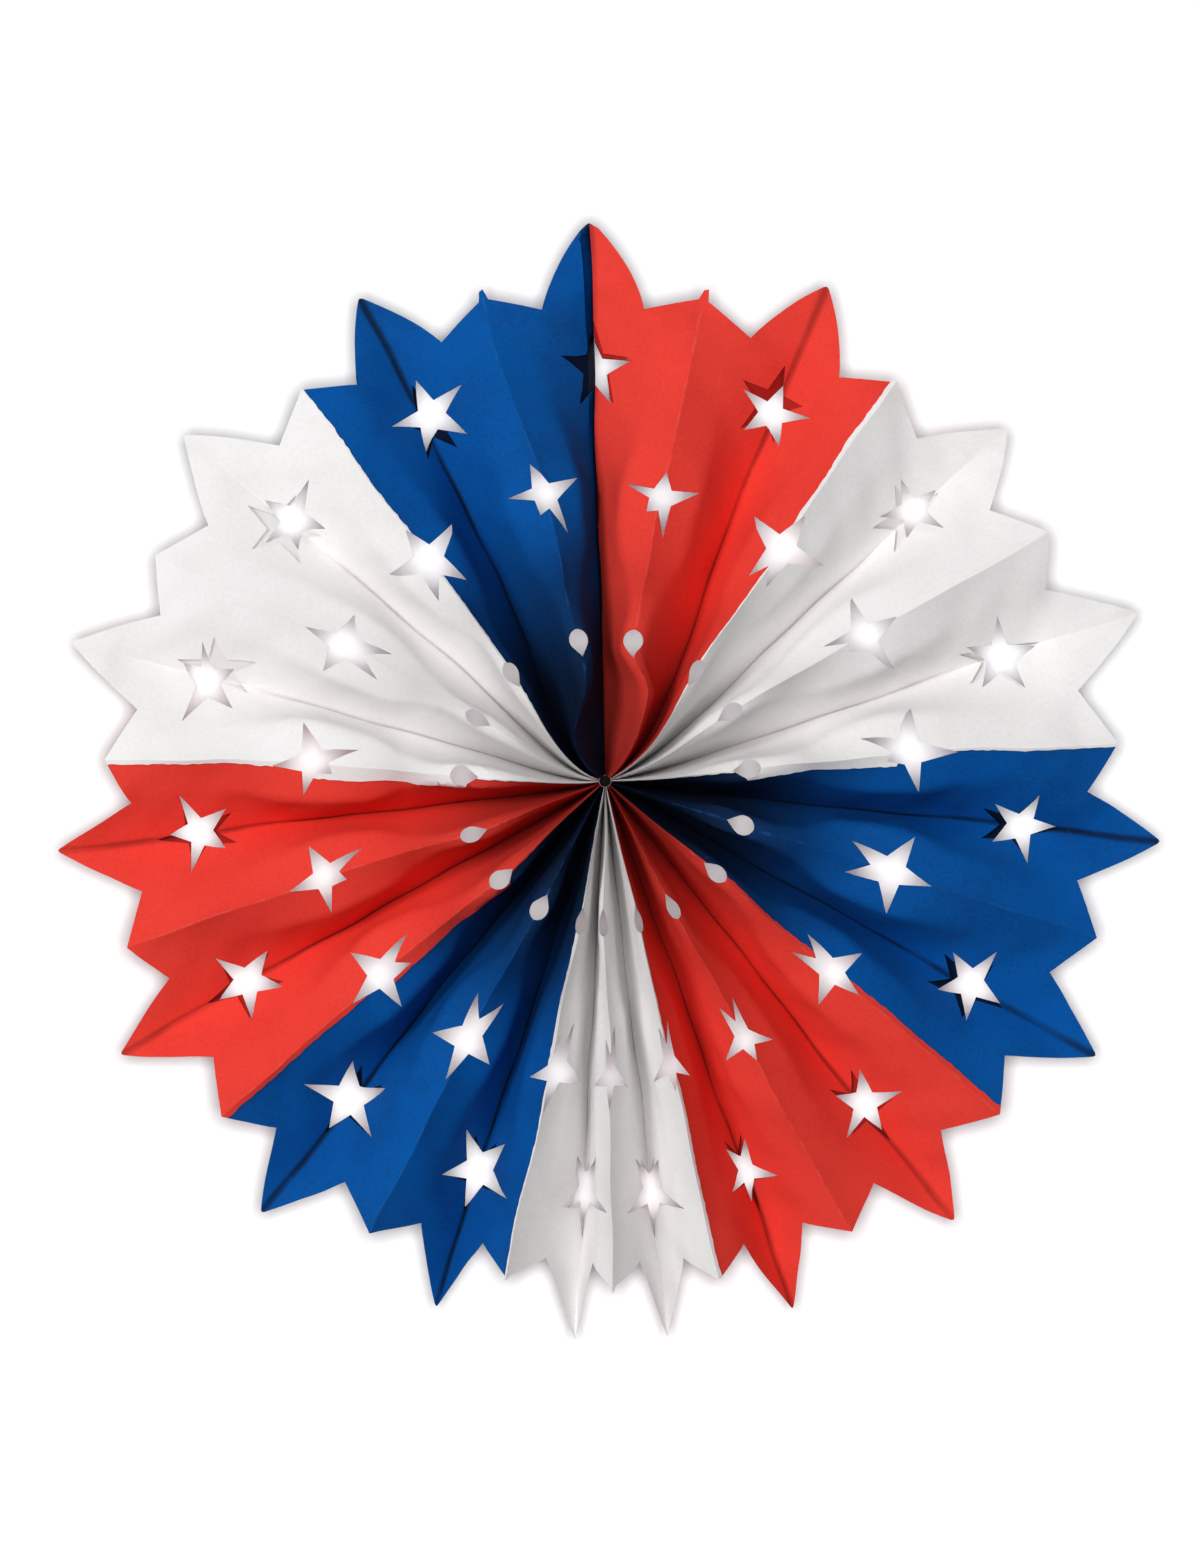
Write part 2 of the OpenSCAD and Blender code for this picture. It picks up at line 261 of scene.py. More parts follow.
@dataclass(frozen=True)
class StarCut:
    """A star as it shows from the front.

    Its middle is given by its radius and its distance to the clockwise side of its fold. Each
    arm has a turn, clockwise from straight outward, and a reach. The ghost is how far outward
    and aside the front ply's own star lies from its even place.
    """

    fold: int
    radius: float
    aside: float
    turns: tuple[float, ...]
    reaches: tuple[float, ...]
    ghost: tuple[float, float] = (0.0, 0.0)

    def corners(self, grown: float) -> np.ndarray:
        """Arms and the notches between them, as radius and distance aside.

        Args:
            grown: Length by which every arm reaches further.

        Returns:
            The corners in order.
        """
        arms = np.array(sorted((a % 360, r + grown) for a, r in zip(self.turns, self.reaches)))
        turn = np.radians(arms[:, 0])
        tips = arms[:, 1:] * np.stack([np.cos(turn), np.sin(turn)], axis=-1)
        notches = NOTCH_SHARE * (tips + np.roll(tips, -1, axis=0))
        both = np.stack([tips, notches], axis=1).reshape(-1, 2)
        return both + np.array([self.radius, self.aside])


STARS = (
    StarCut(0, 198.3, 0.0, (-4, 83, 156, 201, 289), (16.4, 18.2, 18.2, 17.6, 16.6)),
    StarCut(2, 193.5, 0.0, (0, 74, 142, 214, 284), (14, 18.2, 15.8, 14.8, 17.7), (3, -4)),
    StarCut(4, 196.5, 0.0, (-2, 73, 143, 212, 289), (14.1, 16.6, 13.1, 15.9, 15.7)),
    StarCut(6, 198.9, 0.6, (1, 70, 139, 215, 281), (16.7, 18.0, 16.7, 16.9, 18.6)),
    StarCut(8, 201.1, -0.3, (-4, 76, 146, 214, 290), (16.1, 17.2, 15.3, 16.5, 17.1)),
    StarCut(10, 200.9, -1.1, (4, 70, 144, 208, 278), (16.4, 17, 15.2, 16.4, 18.2), (0, 2)),
    StarCut(12, 198.8, -2.2, (6, 70, 142, 210, 286), (14.6, 19.1, 14.1, 16.6, 18.7)),
    StarCut(14, 199.2, -0.9, (12, 60, 156, 200, 294), (14.6, 12, 13.8, 15.6, 14.9)),
    StarCut(16, 198.4, -0.5, (3, 61, 160, 199, 298), (16.5, 14.5, 17.8, 15.7, 16.7)),
    StarCut(18, 196.6, -0.8, (3, 43, 162, 193, 308), (15.4, 11.4, 16.4, 16.5, 12.8)),
    StarCut(20, 196.1, 0.2, (2, 66, 148, 206, 294), (19.1, 16.9, 19.4, 17.3, 17.8)),
    StarCut(22, 196.0, 1.3, (-4, 72, 150, 216, 288), (16.7, 21.4, 17.7, 18.4, 20.9)),
    StarCut(24, 196.8, 0.4, (-4, 66, 156, 216, 292), (15.4, 17.2, 16.5, 16.6, 16.9)),
    StarCut(26, 196.2, 1.3, (0, 70, 150, 220, 288), (13.8, 18.4, 15.9, 14.5, 18.9)),
    StarCut(28, 196.5, -1.5, (22, 70, 142, 213, 286), (13.9, 18.3, 13, 17.7, 21.9), (-3, 6)),
    StarCut(30, 195.0, 1.7, (-3, 73, 155, 220, 280), (15.7, 19.8, 15.6, 13.7, 16.3), (1, -5)),
    StarCut(32, 194.4, 4.6, (4, 74, 144, 216, 278), (17.5, 19.9, 19.9, 17.5, 19.7), (-3, 3)),
    StarCut(1, 137.1, -1.0, (0, 70, 166, 215, 282), (11.6, 17.9, 18.4, 8.5, 17.2)),
    StarCut(3, 137.0, 3.1, (0, 69, 165, 196, 290), (20.3, 21.4, 17.9, 17.9, 20.7)),
    StarCut(5, 139.5, 0.2, (-2, 70, 160, 197, 288), (18.8, 20.6, 8, 18, 18.4)),
    StarCut(7, 143.4, -2.5, (3, 74, 160, 201, 283), (24, 18.8, 9, 21.7, 19.8)),
    StarCut(9, 142.0, -0.1, (2, 76, 162, 200, 290), (20.2, 19.7, 20.6, 21.9, 19)),
    StarCut(11, 140.1, 0.1, (0, 68, 166, 196, 292), (16.6, 16.6, 19.9, 19.6, 16.6)),
    StarCut(13, 139.0, 0.2, (0, 66, 168, 192, 302), (11.2, 13.4, 18.5, 19.7, 13.5)),
    StarCut(15, 137.0, -0.5, (3, 51, 174, 188, 318), (13.2, 12.2, 17, 19, 11)),
    StarCut(17, 139.0, -0.5, (2, 51, 173, 186, 308), (16.8, 9.1, 16.1, 22.3, 10.2)),
    StarCut(19, 138.0, -4.5, (6, 58, 173, 189, 299), (21.2, 13.1, 15, 22.3, 13)),
    StarCut(21, 137.7, 1.2, (2, 68, 164, 198, 296), (22.3, 16.9, 20.8, 21.8, 16.4)),
    StarCut(23, 140.0, 1.2, (-4, 74, 164, 200, 282), (19.2, 17.3, 21.5, 14, 17.8)),
    StarCut(25, 140.2, 0.5, (-2, 78, 162, 204, 282), (18, 15.6, 20.9, 9, 16.4)),
    StarCut(27, 138.2, 2.1, (-6, 70, 160, 210, 287), (19.4, 18.6, 21.4, 9, 15.9)),
    StarCut(29, 140.4, 2.0, (-2, 83, 165, 199, 281), (19, 14.2, 23, 22.6, 15.7)),
    StarCut(31, 133.5, -1.6, (0, 66, 155, 206, 292), (18.1, 20.2, 18.7, 18.5, 19.8)),
    StarCut(33, 138.9, 5.9, (-10, 76, 162, 205, 280), (15.3, 17.5, 20.7, 9, 16.2)),
)


@dataclass
class FoldField:
    """Places of all fold lines, and of the paper between them."""

    sizes: FanSizes
    hand: Handwork
    crest: CrestShape = CrestShape()
    base: np.ndarray = field(init=False)
    turn: np.ndarray = field(init=False)
    reach: np.ndarray = field(init=False)
    waves: np.ndarray = field(init=False)
    sideways: np.ndarray = field(init=False)
    inward: np.ndarray = field(init=False)
    depths: np.ndarray = field(init=False)

    def __post_init__(self) -> None:
        """Lay out the folds round the turn, and draw the waves of each one."""
        s, hand, n = self.sizes, self.hand, self.sizes.valleys
        k = np.arange(n)
        spread = (
            1
            + s.top_spread * np.cos(2 * np.pi * (k + 0.5) / n)
            - s.gather * mound(k, (n - 1) / 2, s.gather_ease)
        )
        sums = np.concatenate([[0.0], np.cumsum(spread)])
        folds = np.arange(-LEAD_FOLDS, TURN_FOLDS + TRAIL_FOLDS)
        before = self.valley_angle(sums, folds // 2)
        after = self.valley_angle(sums, folds // 2 + 1)
        self.base = np.where(folds % 2 == 0, before, (before + after) / 2)
        place, ridge = (folds // 2) % n, folds % 2 == 1
        self.turn, self.reach = (
            np.where(ridge, np.array(points)[place], np.array(tips)[place])
            for points, tips in (
                (hand.point_turn, hand.tip_turn),
                (hand.point_reach, hand.tip_reach),
            )
        )
        self.waves = np.random.default_rng(hand.seed).uniform(0, 1, (len(folds), 12))
        self.shape_pleats()

    def valley_angle(self, sums: np.ndarray, valley: np.ndarray) -> np.ndarray:
        """Angle of the valleys of the even fan.

        Args:
            sums: Running sums of the gaps between valleys.
            valley: Numbers of the valleys.

        Returns:
            Angles clockwise from straight up.
        """
        n = self.sizes.valleys
        turns = 360 * (valley // n)
        return self.sizes.seam_angle + turns + 360 * sums[valley % n] / sums[n]

    def shape_pleats(self) -> None:
        """Round off the ridges where the holes weaken them, at each pleat's own width.

        A face is steep near its valley and flatter near its ridge. The tables hold, for
        each face, radius and place from ridge to valley, how far across and how far down it is.
        """
        c, crest = self.sizes, self.crest
        fold, s = np.meshgrid(
            np.arange(-LEAD_FOLDS, TURN_FOLDS + TRAIL_FOLDS - 1),
            np.arange(0.0, TABLE_END, TABLE_STEP),
            indexing="ij",
        )
        chord = np.maximum(self.chord(fold, s), 0.02)
        depth = np.sqrt(c.flat_depth**2 + np.maximum(0, c.pleat_w**2 - chord**2))
        long, tilt = np.hypot(chord, depth), np.arctan2(depth, chord)
        ridge = (fold + 1 - fold % 2) // 2 % c.valleys
        strength = np.array(self.hand.crest)[ridge]
        near_star, near_drop = (
            mound(s, at, width) * most for at, width, most in (crest.star, crest.teardrop)
        )
        flat = np.clip(strength * np.maximum(near_star, near_drop) + crest.least, 0, crest.most)
        half = crest.half_width + crest.widening * ease(s, *crest.widening_ramp)
        crest_tilt = tilt * (1 - flat)
        half = np.minimum(half, crest.face_share * chord / np.maximum(np.cos(crest_tilt), 1e-3))
        u = np.linspace(0, 1, PROFILE_STEPS + 1)
        soft = np.minimum(crest.softness, half * crest.soft_share)
        on_crest = ease((half[..., None] - u * long[..., None]) / soft[..., None] + 0.5)
        low, high = tilt.copy(), np.full_like(tilt, np.pi / 2 - 0.002)
        for _ in range(crest.rounds):
            wall = (low + high) / 2
            slope = wall[..., None] + (crest_tilt - wall)[..., None] * on_crest
            short = np.cos(slope).mean(axis=-1) * long < chord
            high, low = np.where(short, wall, high), np.where(short, low, wall)
        start = np.zeros_like(chord)[..., None]
        across, down = (
            np.concatenate([start, np.cumsum(part(slope[..., 1:]), axis=-1)], axis=-1)
            for part in (np.cos, np.sin)
        )
        self.depths = down[..., -1] / PROFILE_STEPS * long
        self.sideways = across / across[..., -1:]
        self.inward = down / down[..., -1:]

    @staticmethod
    def between(table: np.ndarray, fold: np.ndarray, s: np.ndarray) -> np.ndarray:
        """Read a table at any radius.

        Args:
            table: Table by face and radius.
            fold: Numbers of the faces.
            s: Radii in the flat paper.

        Returns:
            The rows or values there.
        """
        at = np.clip(np.asarray(s) / TABLE_STEP, 0, table.shape[1] - 1.001)
        k, row = at.astype(int), fold + LEAD_FOLDS
        f = (at - k).reshape(at.shape + (1,) * (table.ndim - 2))
        return table[row, k] * (1 - f) + table[row, k + 1] * f

    def profile(
        self, fold: np.ndarray, s: np.ndarray, way: np.ndarray
    ) -> tuple[np.ndarray, np.ndarray]:
        """How far a place on a face is across and down, as shares from its first fold.

        Args:
            fold: Numbers of the first folds.
            s: Radii in the flat paper.
            way: Places between the folds, from 0 to 1.

        Returns:
            The share across and the share down.
        """
        from_ridge = fold % 2 == 1
        u = np.where(from_ridge, way, 1 - way) * PROFILE_STEPS
        k = np.clip(u.astype(int), 0, PROFILE_STEPS - 1)
        f, rows = u - k, np.arange(len(k))
        answer = []
        for table in (self.sideways, self.inward):
            line = self.between(table, fold, s)
            share = line[rows, k] * (1 - f) + line[rows, k + 1] * f
            answer.append(np.where(from_ridge, share, 1 - share))
        return answer[0], answer[1]

    def seen_on_face(
        self, face: np.ndarray, s: np.ndarray, target: np.ndarray
    ) -> tuple[np.ndarray, np.ndarray, np.ndarray]:
        """Where the front view of a face has a target.

        Args:
            face: Numbers of the faces.
            s: Radii in the flat paper.
            target: Points across and up in the view.

        Returns:
            Both ends of each face there, and how far from one to the other the target is.
        """
        p, q = self.plain(face, s)[:, [0, 2]], self.plain(face + 1, s)[:, [0, 2]]
        return p, q, ((target - p) * (q - p)).sum(axis=1) / ((q - p) ** 2).sum(axis=1)

    def unfold(self, fold: int, corners: np.ndarray, rounds: int = 8) -> np.ndarray:
        """Find the flat places of points that show round a fold.

        Args:
            fold: Number of the fold.
            corners: Points as radius along the fold and distance to its clockwise side.
            rounds: How often the guess is bettered.

        Returns:
            Their places across the sheets and their radii in the flat paper.
        """
        i = fold + LEAD_FOLDS
        a = np.radians(self.base[i] + self.turn[i])
        out, side = np.array([np.sin(a), np.cos(a)]), np.array([np.cos(a), -np.sin(a)])
        target = corners[:, :1] * out + corners[:, 1:] * side
        face = np.where(corners[:, 1] < 0, fold - 1, fold)
        s = corners[:, 0].astype(float)
        for _ in range(rounds):
            p, q, way = self.seen_on_face(face, s, target)
            face = np.where((way < 0) & (face == fold), fold - 1, face)
            face = np.where((way > 1) & (face == fold - 1), fold, face)
            on = p + (q - p) * np.clip(way, 0, 1)[:, None]
            s = s + ((target - on) @ out)
        share = np.clip(self.seen_on_face(face, s, target)[2], 0, 1)
        lines = self.between(self.sideways, face, s)
        ridge_first = face % 2 == 1
        want = np.where(ridge_first, share, 1 - share)
        ticks = np.linspace(0, 1, PROFILE_STEPS + 1)
        u = np.array([np.interp(w, line, ticks) for w, line in zip(want, lines)])
        return np.stack([face + np.where(ridge_first, u, 1 - u), s], axis=-1)

    @staticmethod
    def ripple(
        s: np.ndarray, draws: np.ndarray, first: int, length: float, spread: float
    ) -> np.ndarray:
        """Wave along the radius.

        Args:
            s: Radii in the flat paper.
            draws: The draws of each fold.
            first: Which of them adds to the length; the next one shifts the wave.
            length: Shortest length of the wave.
            spread: What a draw of 1 adds to it.

        Returns:
            Heights from -1 to 1.
        """
        run = s / (length + spread * draws[..., first]) + draws[..., first + 1]
        return np.sin(2 * np.pi * run)

    def angle(self, fold: np.ndarray, s: np.ndarray) -> np.ndarray:
        """Angle of a fold line.

        Args:
            fold: Numbers of the folds.
            s: Radii in the flat paper.

        Returns:
            Angles clockwise from straight up.
        """
        hand, i, ridge = self.hand, fold + LEAD_FOLDS, fold % 2 == 1
        base = self.base[i]
        aside = (base - self.sizes.seam_angle + 180) % 360 - 180
        swing = np.zeros_like(s)
        for sign, (most, fade, width), pinch in (
            (1, hand.swing_right, hand.pinch_right),
            (-1, hand.swing_left, hand.pinch_left),
        ):
            there = np.exp(-s / fade) * mound(aside, 0.0, width) * most
            pinched = there * (1 - ease(s, *pinch))
            there = np.where(ridge & (np.abs(aside) < hand.pinch_within), pinched, there)
            swing = np.where(sign * aside > hand.swing_from, sign * there, swing)
        w = self.waves[fold % TURN_FOLDS + LEAD_FOLDS]
        (high, *long_wave), (low, *short_wave) = hand.sway_waves
        sway = high * self.ripple(s, w, 0, *long_wave)
        sway += low * self.ripple(s, w, 2, *short_wave)
        strayed = self.turn[i] * ease(s, *hand.stray_ramp)
        aside_mm = hand.wander * sway * ease(s, *hand.wander_ramp)
        pleat = np.array((fold - 1) // 2 % self.sizes.valleys)
        drop, star = np.array(hand.drop_aside)[pleat], np.array(hand.star_aside)[pleat]
        bend = drop * ease(s, *hand.drop_ramp) + (star - drop) * ease(s, *hand.star_ramp)
        bend *= 1 - ease(s, *hand.rim_ramp)
        aside_mm = aside_mm + np.where(ridge, bend, 0.0)
        return base + swing + strayed + np.degrees(aside_mm / np.maximum(s, hand.sway_least_r))

    def radius(self, fold: np.ndarray, s: np.ndarray) -> np.ndarray:
        """Radius in the fan at which a point of the flat paper ends up on a fold."""
        return s + self.reach[fold + LEAD_FOLDS] * (s / self.sizes.tip_r) ** 2

    def chord(self, fold: np.ndarray, s: np.ndarray) -> np.ndarray:
        """Straight distance from a fold to the next one."""
        between = np.radians(self.angle(fold + 1, s) - self.angle(fold, s))
        return 2 * s * np.sin(between / 2)

    def depth(self, fold: np.ndarray, s: np.ndarray) -> np.ndarray:
        """Depth from a fold to the next one."""
        return self.between(self.depths, fold, s)

    def thickness(self, fold: np.ndarray, s: np.ndarray) -> np.ndarray:
        """Thickness of one ply along Y.

        Args:
            fold: Numbers of the folds.
            s: Radii in the flat paper.

        Returns:
            The thickness at each fold, the mean of the faces beside it.
        """
        chord = (self.chord(fold - 1, s) + self.chord(fold, s)) / 2
        depth = (self.depth(fold - 1, s) + self.depth(fold, s)) / 2
        grown = self.sizes.paper_t * np.sqrt(1 + (depth / chord) ** 2)
        return np.minimum(self.sizes.mitre_cap, grown)

    def plain(self, fold: np.ndarray, s: np.ndarray) -> np.ndarray:
        """Points on a fold line, before the plies are stacked.

        Args:
            fold: Numbers of the folds.
            s: Radii in the flat paper.

        Returns:
            The points, with the valleys behind and the ridges in front.
        """
        a, r = np.radians(self.angle(fold, s)), self.radius(fold, s)
        away = np.where(fold % 2 == 0, 1.0, -1.0)
        y = away * (self.depth(fold - 1, s) + self.depth(fold, s)) / 4
        return np.stack([r * np.sin(a), y, r * np.cos(a)], axis=-1)

    def layer(self, sheet: int, back: bool, fold: np.ndarray, s: np.ndarray) -> np.ndarray:
        """Place of a ply along Y, measured from the plain fold.

        Args:
            sheet: Number of the sheet.
            back: Whether it is the back ply.
            fold: Numbers of the folds.
            s: Radii in the flat paper.

        Returns:
            Distances backward, which are below zero where the sheet laps over another.
        """
        c = self.sizes
        t = self.thickness(fold, s)
        lap = 2 * t + c.ply_gap + c.glue_gap
        slack = np.where(fold % 2 == 0, c.valley_slack * s / c.tip_r, 0.0)
        y = (t + c.ply_gap + slack) if back else np.zeros_like(s)
        laps = self.hand.laps
        if sheet > 0 and laps[sheet - 1][0] > 0:
            y = y - np.where(fold == first_fold(sheet), lap, 0.0)
        if sheet < SHEETS - 1 and laps[sheet][0] < 0:
            y = y - np.where(fold == end_fold(sheet), lap, 0.0)
        return y + np.where(fold >= TURN_FOLDS, lap + slack, 0.0)

    def relief(self, across: np.ndarray, s: np.ndarray, chord: np.ndarray) -> np.ndarray:
        """How far the paper between two folds bows out of its plane.

        Args:
            across: Place across the sheets, counted in folds.
            s: Radii in the flat paper.
            chord: Room between the two folds.

        Returns:
            Distances, which are zero on the folds.
        """
        hand, fold = self.hand, np.floor(across).astype(int)
        way = across - fold
        w = self.waves[fold % TURN_FOLDS + LEAD_FOLDS]
        (high, *long_wave), (twist, *twist_wave) = hand.bow_waves
        fine, length, slant = hand.fine_wave
        arch = np.sin(np.pi * way)
        bow = (w[..., 4] - hand.bow_level) * arch
        bow += high * arch * self.ripple(s, w, 5, *long_wave)
        bow += twist * np.sin(2 * np.pi * way) * self.ripple(s, w, 7, *twist_wave)
        wrinkle = np.sin(2 * np.pi * (s / length + w[..., 9] + way * slant))
        bow += fine * arch * wrinkle * ease(s, *hand.fine_ramp)
        free = 1 + hand.rim_loose * ease(s, *hand.loose_ramp)
        return np.minimum(hand.buckle * free, hand.buckle_share * chord) * bow

    def seam(self, sheet: int, across: np.ndarray, s: np.ndarray) -> np.ndarray:
        """Extra depth beside the seam: the last sheet dives there and the first one curls up.

        Args:
            sheet: Number of the sheet.
            across: Place across the sheets, counted in folds.
            s: Radii in the flat paper.

        Returns:
            Distances backward.
        """
        hand = self.hand
        if sheet == SHEETS - 1:
            near = 1 - np.abs(across - TURN_FOLDS) / hand.dive_width
            return hand.seam_dive * ease(near * hand.dive_steep) * ease(s, *hand.dive_ramp)
        if sheet == 0:
            near = np.clip(1 - across / hand.curl_width, 0, 1)
            return -hand.edge_curl * near**hand.curl_power * ease(s, *hand.curl_ramp)
        return np.zeros_like(s)

    def place(
        self, sheet: int, back: bool, across: np.ndarray, s: np.ndarray
    ) -> tuple[np.ndarray, np.ndarray]:
        """Fold flat paper into the fan.

        Args:
            sheet: Number of the sheet, clockwise from the seam.
            back: Whether it is the back ply.
            across: Places across the sheets, counted in folds.
            s: Radii in the flat paper.

        Returns:
            The points of the front surface, and the thickness along Y.
        """
        start, end = first_fold(sheet), end_fold(sheet)
        cell = np.floor(across + 1e-9).astype(int)
        cell = np.where((cell == end) & (across < end + 1e-6), end - 1, cell)
        fold = np.clip(cell, start - 1, end)
        way = np.clip(across - fold, 0, 1)
        p, q = self.plain(fold, s), self.plain(fold + 1, s)
        across_share, down_share = self.profile(fold, s, way)
        points = p + (q - p) * np.stack([across_share, down_share, across_share], axis=-1)
        at, onward = np.clip(fold, start, end), np.clip(fold + 1, start, end)
        layer = self.layer(sheet, back, at, s) * (1 - way)
        layer += self.layer(sheet, back, onward, s) * way
        thick = self.thickness(at, s) * (1 - way) + self.thickness(onward, s) * way
        a = np.radians((self.angle(fold, s) + self.angle(fold + 1, s)) / 2)
        outward = np.stack([np.sin(a), np.zeros_like(a), np.cos(a)], axis=-1)
        normal = np.cross(q - p, outward)
        normal /= np.maximum(np.linalg.norm(normal, axis=1), 1e-6)[:, None]
        bow = self.relief(np.clip(across, fold, fold + 0.99999), s, self.chord(fold, s))
        points = points + normal * bow[:, None]
        points[:, 1] += layer + self.seam(sheet, across, s)
        return points, thick


def first_fold(sheet: int) -> int:
    """Number of the fold at which a sheet starts."""
    return 0 if sheet == 0 else 4 * sheet - 1


def end_fold(sheet: int) -> int:
    """Number of the fold at which a sheet ends."""
    return 4 * sheet + 3


@dataclass
class StripPattern:
    """One sheet as it is cut flat: its outline, holes and fold lines."""

    folds: FoldField
    sheet: int
    back: bool
    step: float
    rng: np.random.Generator
    fold_points: int = 90
    margin: float = 8.0
    # Lines beside the seam in the last sheet, with the radius where each ends.
    seam_points: int = 99
    seam_lines: tuple[Corner, ...] = ((-4.4, 256), (-2.2, 259), (2.2, 259), (4.4, 256))
    # The loose grid, in steps: height of a row, start of even and odd rows, jitter and room.
    row_share: float = 0.87
    row_starts: tuple[float, float] = (0.9, 0.5)
    jitter: float = 0.12
    room: float = 0.45

    @property
    def sizes(self) -> FanSizes:
        """Sizes of the fan."""
        return self.folds.sizes

    @property
    def hand(self) -> Handwork:
        """Handwork of the fan."""
        return self.folds.hand

    def loop(self, points: list[Corner], step: float = 0.0) -> np.ndarray:
        """Close a polygon and split its long sides.

        Args:
            points: Corners in order.
            step: Longest side; the pattern's own step if it is 0.

        Returns:
            All corners in order.
        """
        step, made = step or self.step, []
        for k, a in enumerate(points):
            b = points[(k + 1) % len(points)]
            parts = max(1, math.ceil(math.dist(a, b) / step))
            made += [
                (a[0] + (b[0] - a[0]) * j / parts, a[1] + (b[1] - a[1]) * j / parts)
                for j in range(parts)
            ]
        return np.array(made)

    def rim(self) -> list[Corner]:
        """Cut the pointed rim.

        Returns:
            Its corners, from the end of the sheet back to its start.
        """
        c, start, end = self.sizes, first_fold(self.sheet), end_fold(self.sheet)
        corners: list[Corner] = []
        for fold in range(end, start, -1):
            right = (fold - start) * c.pleat_w
            left, middle = right - c.pleat_w, right - c.pleat_w / 2
            if fold % 2 == 1:
                corners += self.ridge_end(fold, right)
                corners += self.tip_side(middle, left, False)
            else:
                corners += self.tip_side(middle, right, True)
                corners += [(middle, c.notch_r)]
        if start % 2 == 1:
            corners += self.ridge_end(start, 0.0)
        return corners

    def lap(self, at_end: bool) -> list[Corner]:
        """Cut the edge of the lap at one end of the sheet, a little unevenly.

        Args:
            at_end: Whether it is the clockwise end.

        Returns:
            Its corners from the rim to the hub, or none where the sheet has no lap.
        """
        c, hand, seam = self.sizes, self.hand, self.sheet + 1 if at_end else self.sheet
        if seam in (0, SHEETS):
            return []
        sign = -1.0 if at_end else 1.0
        base = (end_fold(self.sheet) - first_fold(self.sheet)) * c.pleat_w if at_end else 0.0
        fall = (c.point_r - c.notch_r) / (c.pleat_w / 2)
        share = hand.back_lap if self.back else 1.0
        width = max(0.0, sign * hand.lap_width(seam, c.point_r)) * share
        if not width:
            return []
        found = []
        for s in np.arange(c.point_r - fall * width, c.hub_r, -hand.lap_step):
            wide = max(0.0, sign * hand.lap_width(seam, float(s))) * share
            wide = max(hand.lap_least, wide + self.rng.uniform(-hand.lap_ragged, hand.lap_ragged))
            found.append((base - sign * wide, float(s)))
        return found

    def ridge_end(self, fold: int, x: float) -> list[Corner]:
        """End a ridge fold at the rim, with the sliver of paper that some keep.

        Args:
            fold: Number of the fold.
            x: Its place in the flat sheet.

        Returns:
            The corners there.
        """
        top, sliver = self.sizes.point_r, dict(self.hand.slivers).get(fold, 0.0)
        if self.back or not sliver:
            return [(x, top)]
        end = [(x + 0.9, top + sliver), (x - 1.1, top + sliver * 0.8)]
        return [(x + 2.2, top - 1), *end, (x - 2.4, top - 1)]

    def tip_side(self, notch_x: float, tip_x: float, inward: bool) -> list[Corner]:
        """Bowed side of a big tip.

        Args:
            notch_x: Place of the notch.
            tip_x: Place of the tip.
            inward: Whether the side runs from the tip to the notch.

        Returns:
            Its corners, with the tip, and with the notch only if it starts there.
        """
        c, hand = self.sizes, self.hand
        notch, tip = np.array([notch_x, c.notch_r]), np.array([tip_x, c.tip_r])
        way = tip - notch
        out = np.array([way[1], -way[0]]) / np.linalg.norm(way)
        out *= 1.0 if out[0] * (notch_x - tip_x) > 0 else -1.0
        fold = first_fold(self.sheet) + round(tip_x / c.pleat_w)
        bulge = hand.bulge[fold // 2 % c.valleys]
        side = [
            tuple(notch + way * f + out * bulge * 4 * f * (1 - f)) for f in np.linspace(0, 1, 9)
        ]
        at_seam = self.sheet == 0 and tip_x == 0
        blunt = hand.seam_blunt if at_seam else hand.tip_blunt
        last, tip = np.array(side[-2]), np.array(side[-1])
        edge = tip + (last - tip) / np.linalg.norm(last - tip) * blunt
        side[-1:] = [tuple(edge), (tip_x, tip[1] - hand.tip_flat * blunt)]
        return side[:0:-1] if inward else side

    def star(self, x: float, at: float, turn: float) -> list[Corner]:
        """Draw an even five-pointed star.

        Args:
            x: Place of its middle across the flat sheet.
            at: Radius of its middle.
            turn: Turn of its first arm, clockwise from outward.

        Returns:
            Its corners in order.
        """
        r = self.sizes.outer_star_r
        reach = [r, r * self.sizes.star_waist] * 5
        angles = [math.radians(36 * k + turn) for k in range(10)]
        return [(x + q * math.sin(a), at + q * math.cos(a)) for q, a in zip(reach, angles)]

    def teardrop(self, x: float, steps: int = 8) -> list[Corner]:
        """Draw a teardrop with its round end outward.

        Args:
            x: Place of its middle across the flat sheet.
            steps: Sides of each half of its round end.

        Returns:
            Its corners in order.
        """
        r, long = self.hand.drop_w / 2, self.hand.drop_l
        at = self.sizes.teardrop_at + self.hand.drop_out
        centre = at + long / 2 - r
        tangent = 180 - math.degrees(math.acos(r / (long - r)))
        angles = [math.radians(tangent * k / steps) for k in range(-steps, steps + 1)]
        arc = [(x + r * math.sin(a), centre + r * math.cos(a)) for a in angles]
        return [*arc, (x, at - long / 2)]

    def shown(self, star: StarCut) -> np.ndarray:
        """Lay the outline of a star that shows from the front into the flat sheet.

        Args:
            star: The star as it shows.

        Returns:
            Its outline.
        """
        flat = self.folds.unfold(star.fold, star.corners(self.hand.star_grown))
        x = (flat[:, 0] - first_fold(self.sheet)) * self.sizes.pleat_w
        return self.loop([(float(a), float(b)) for a, b in zip(x, flat[:, 1])])

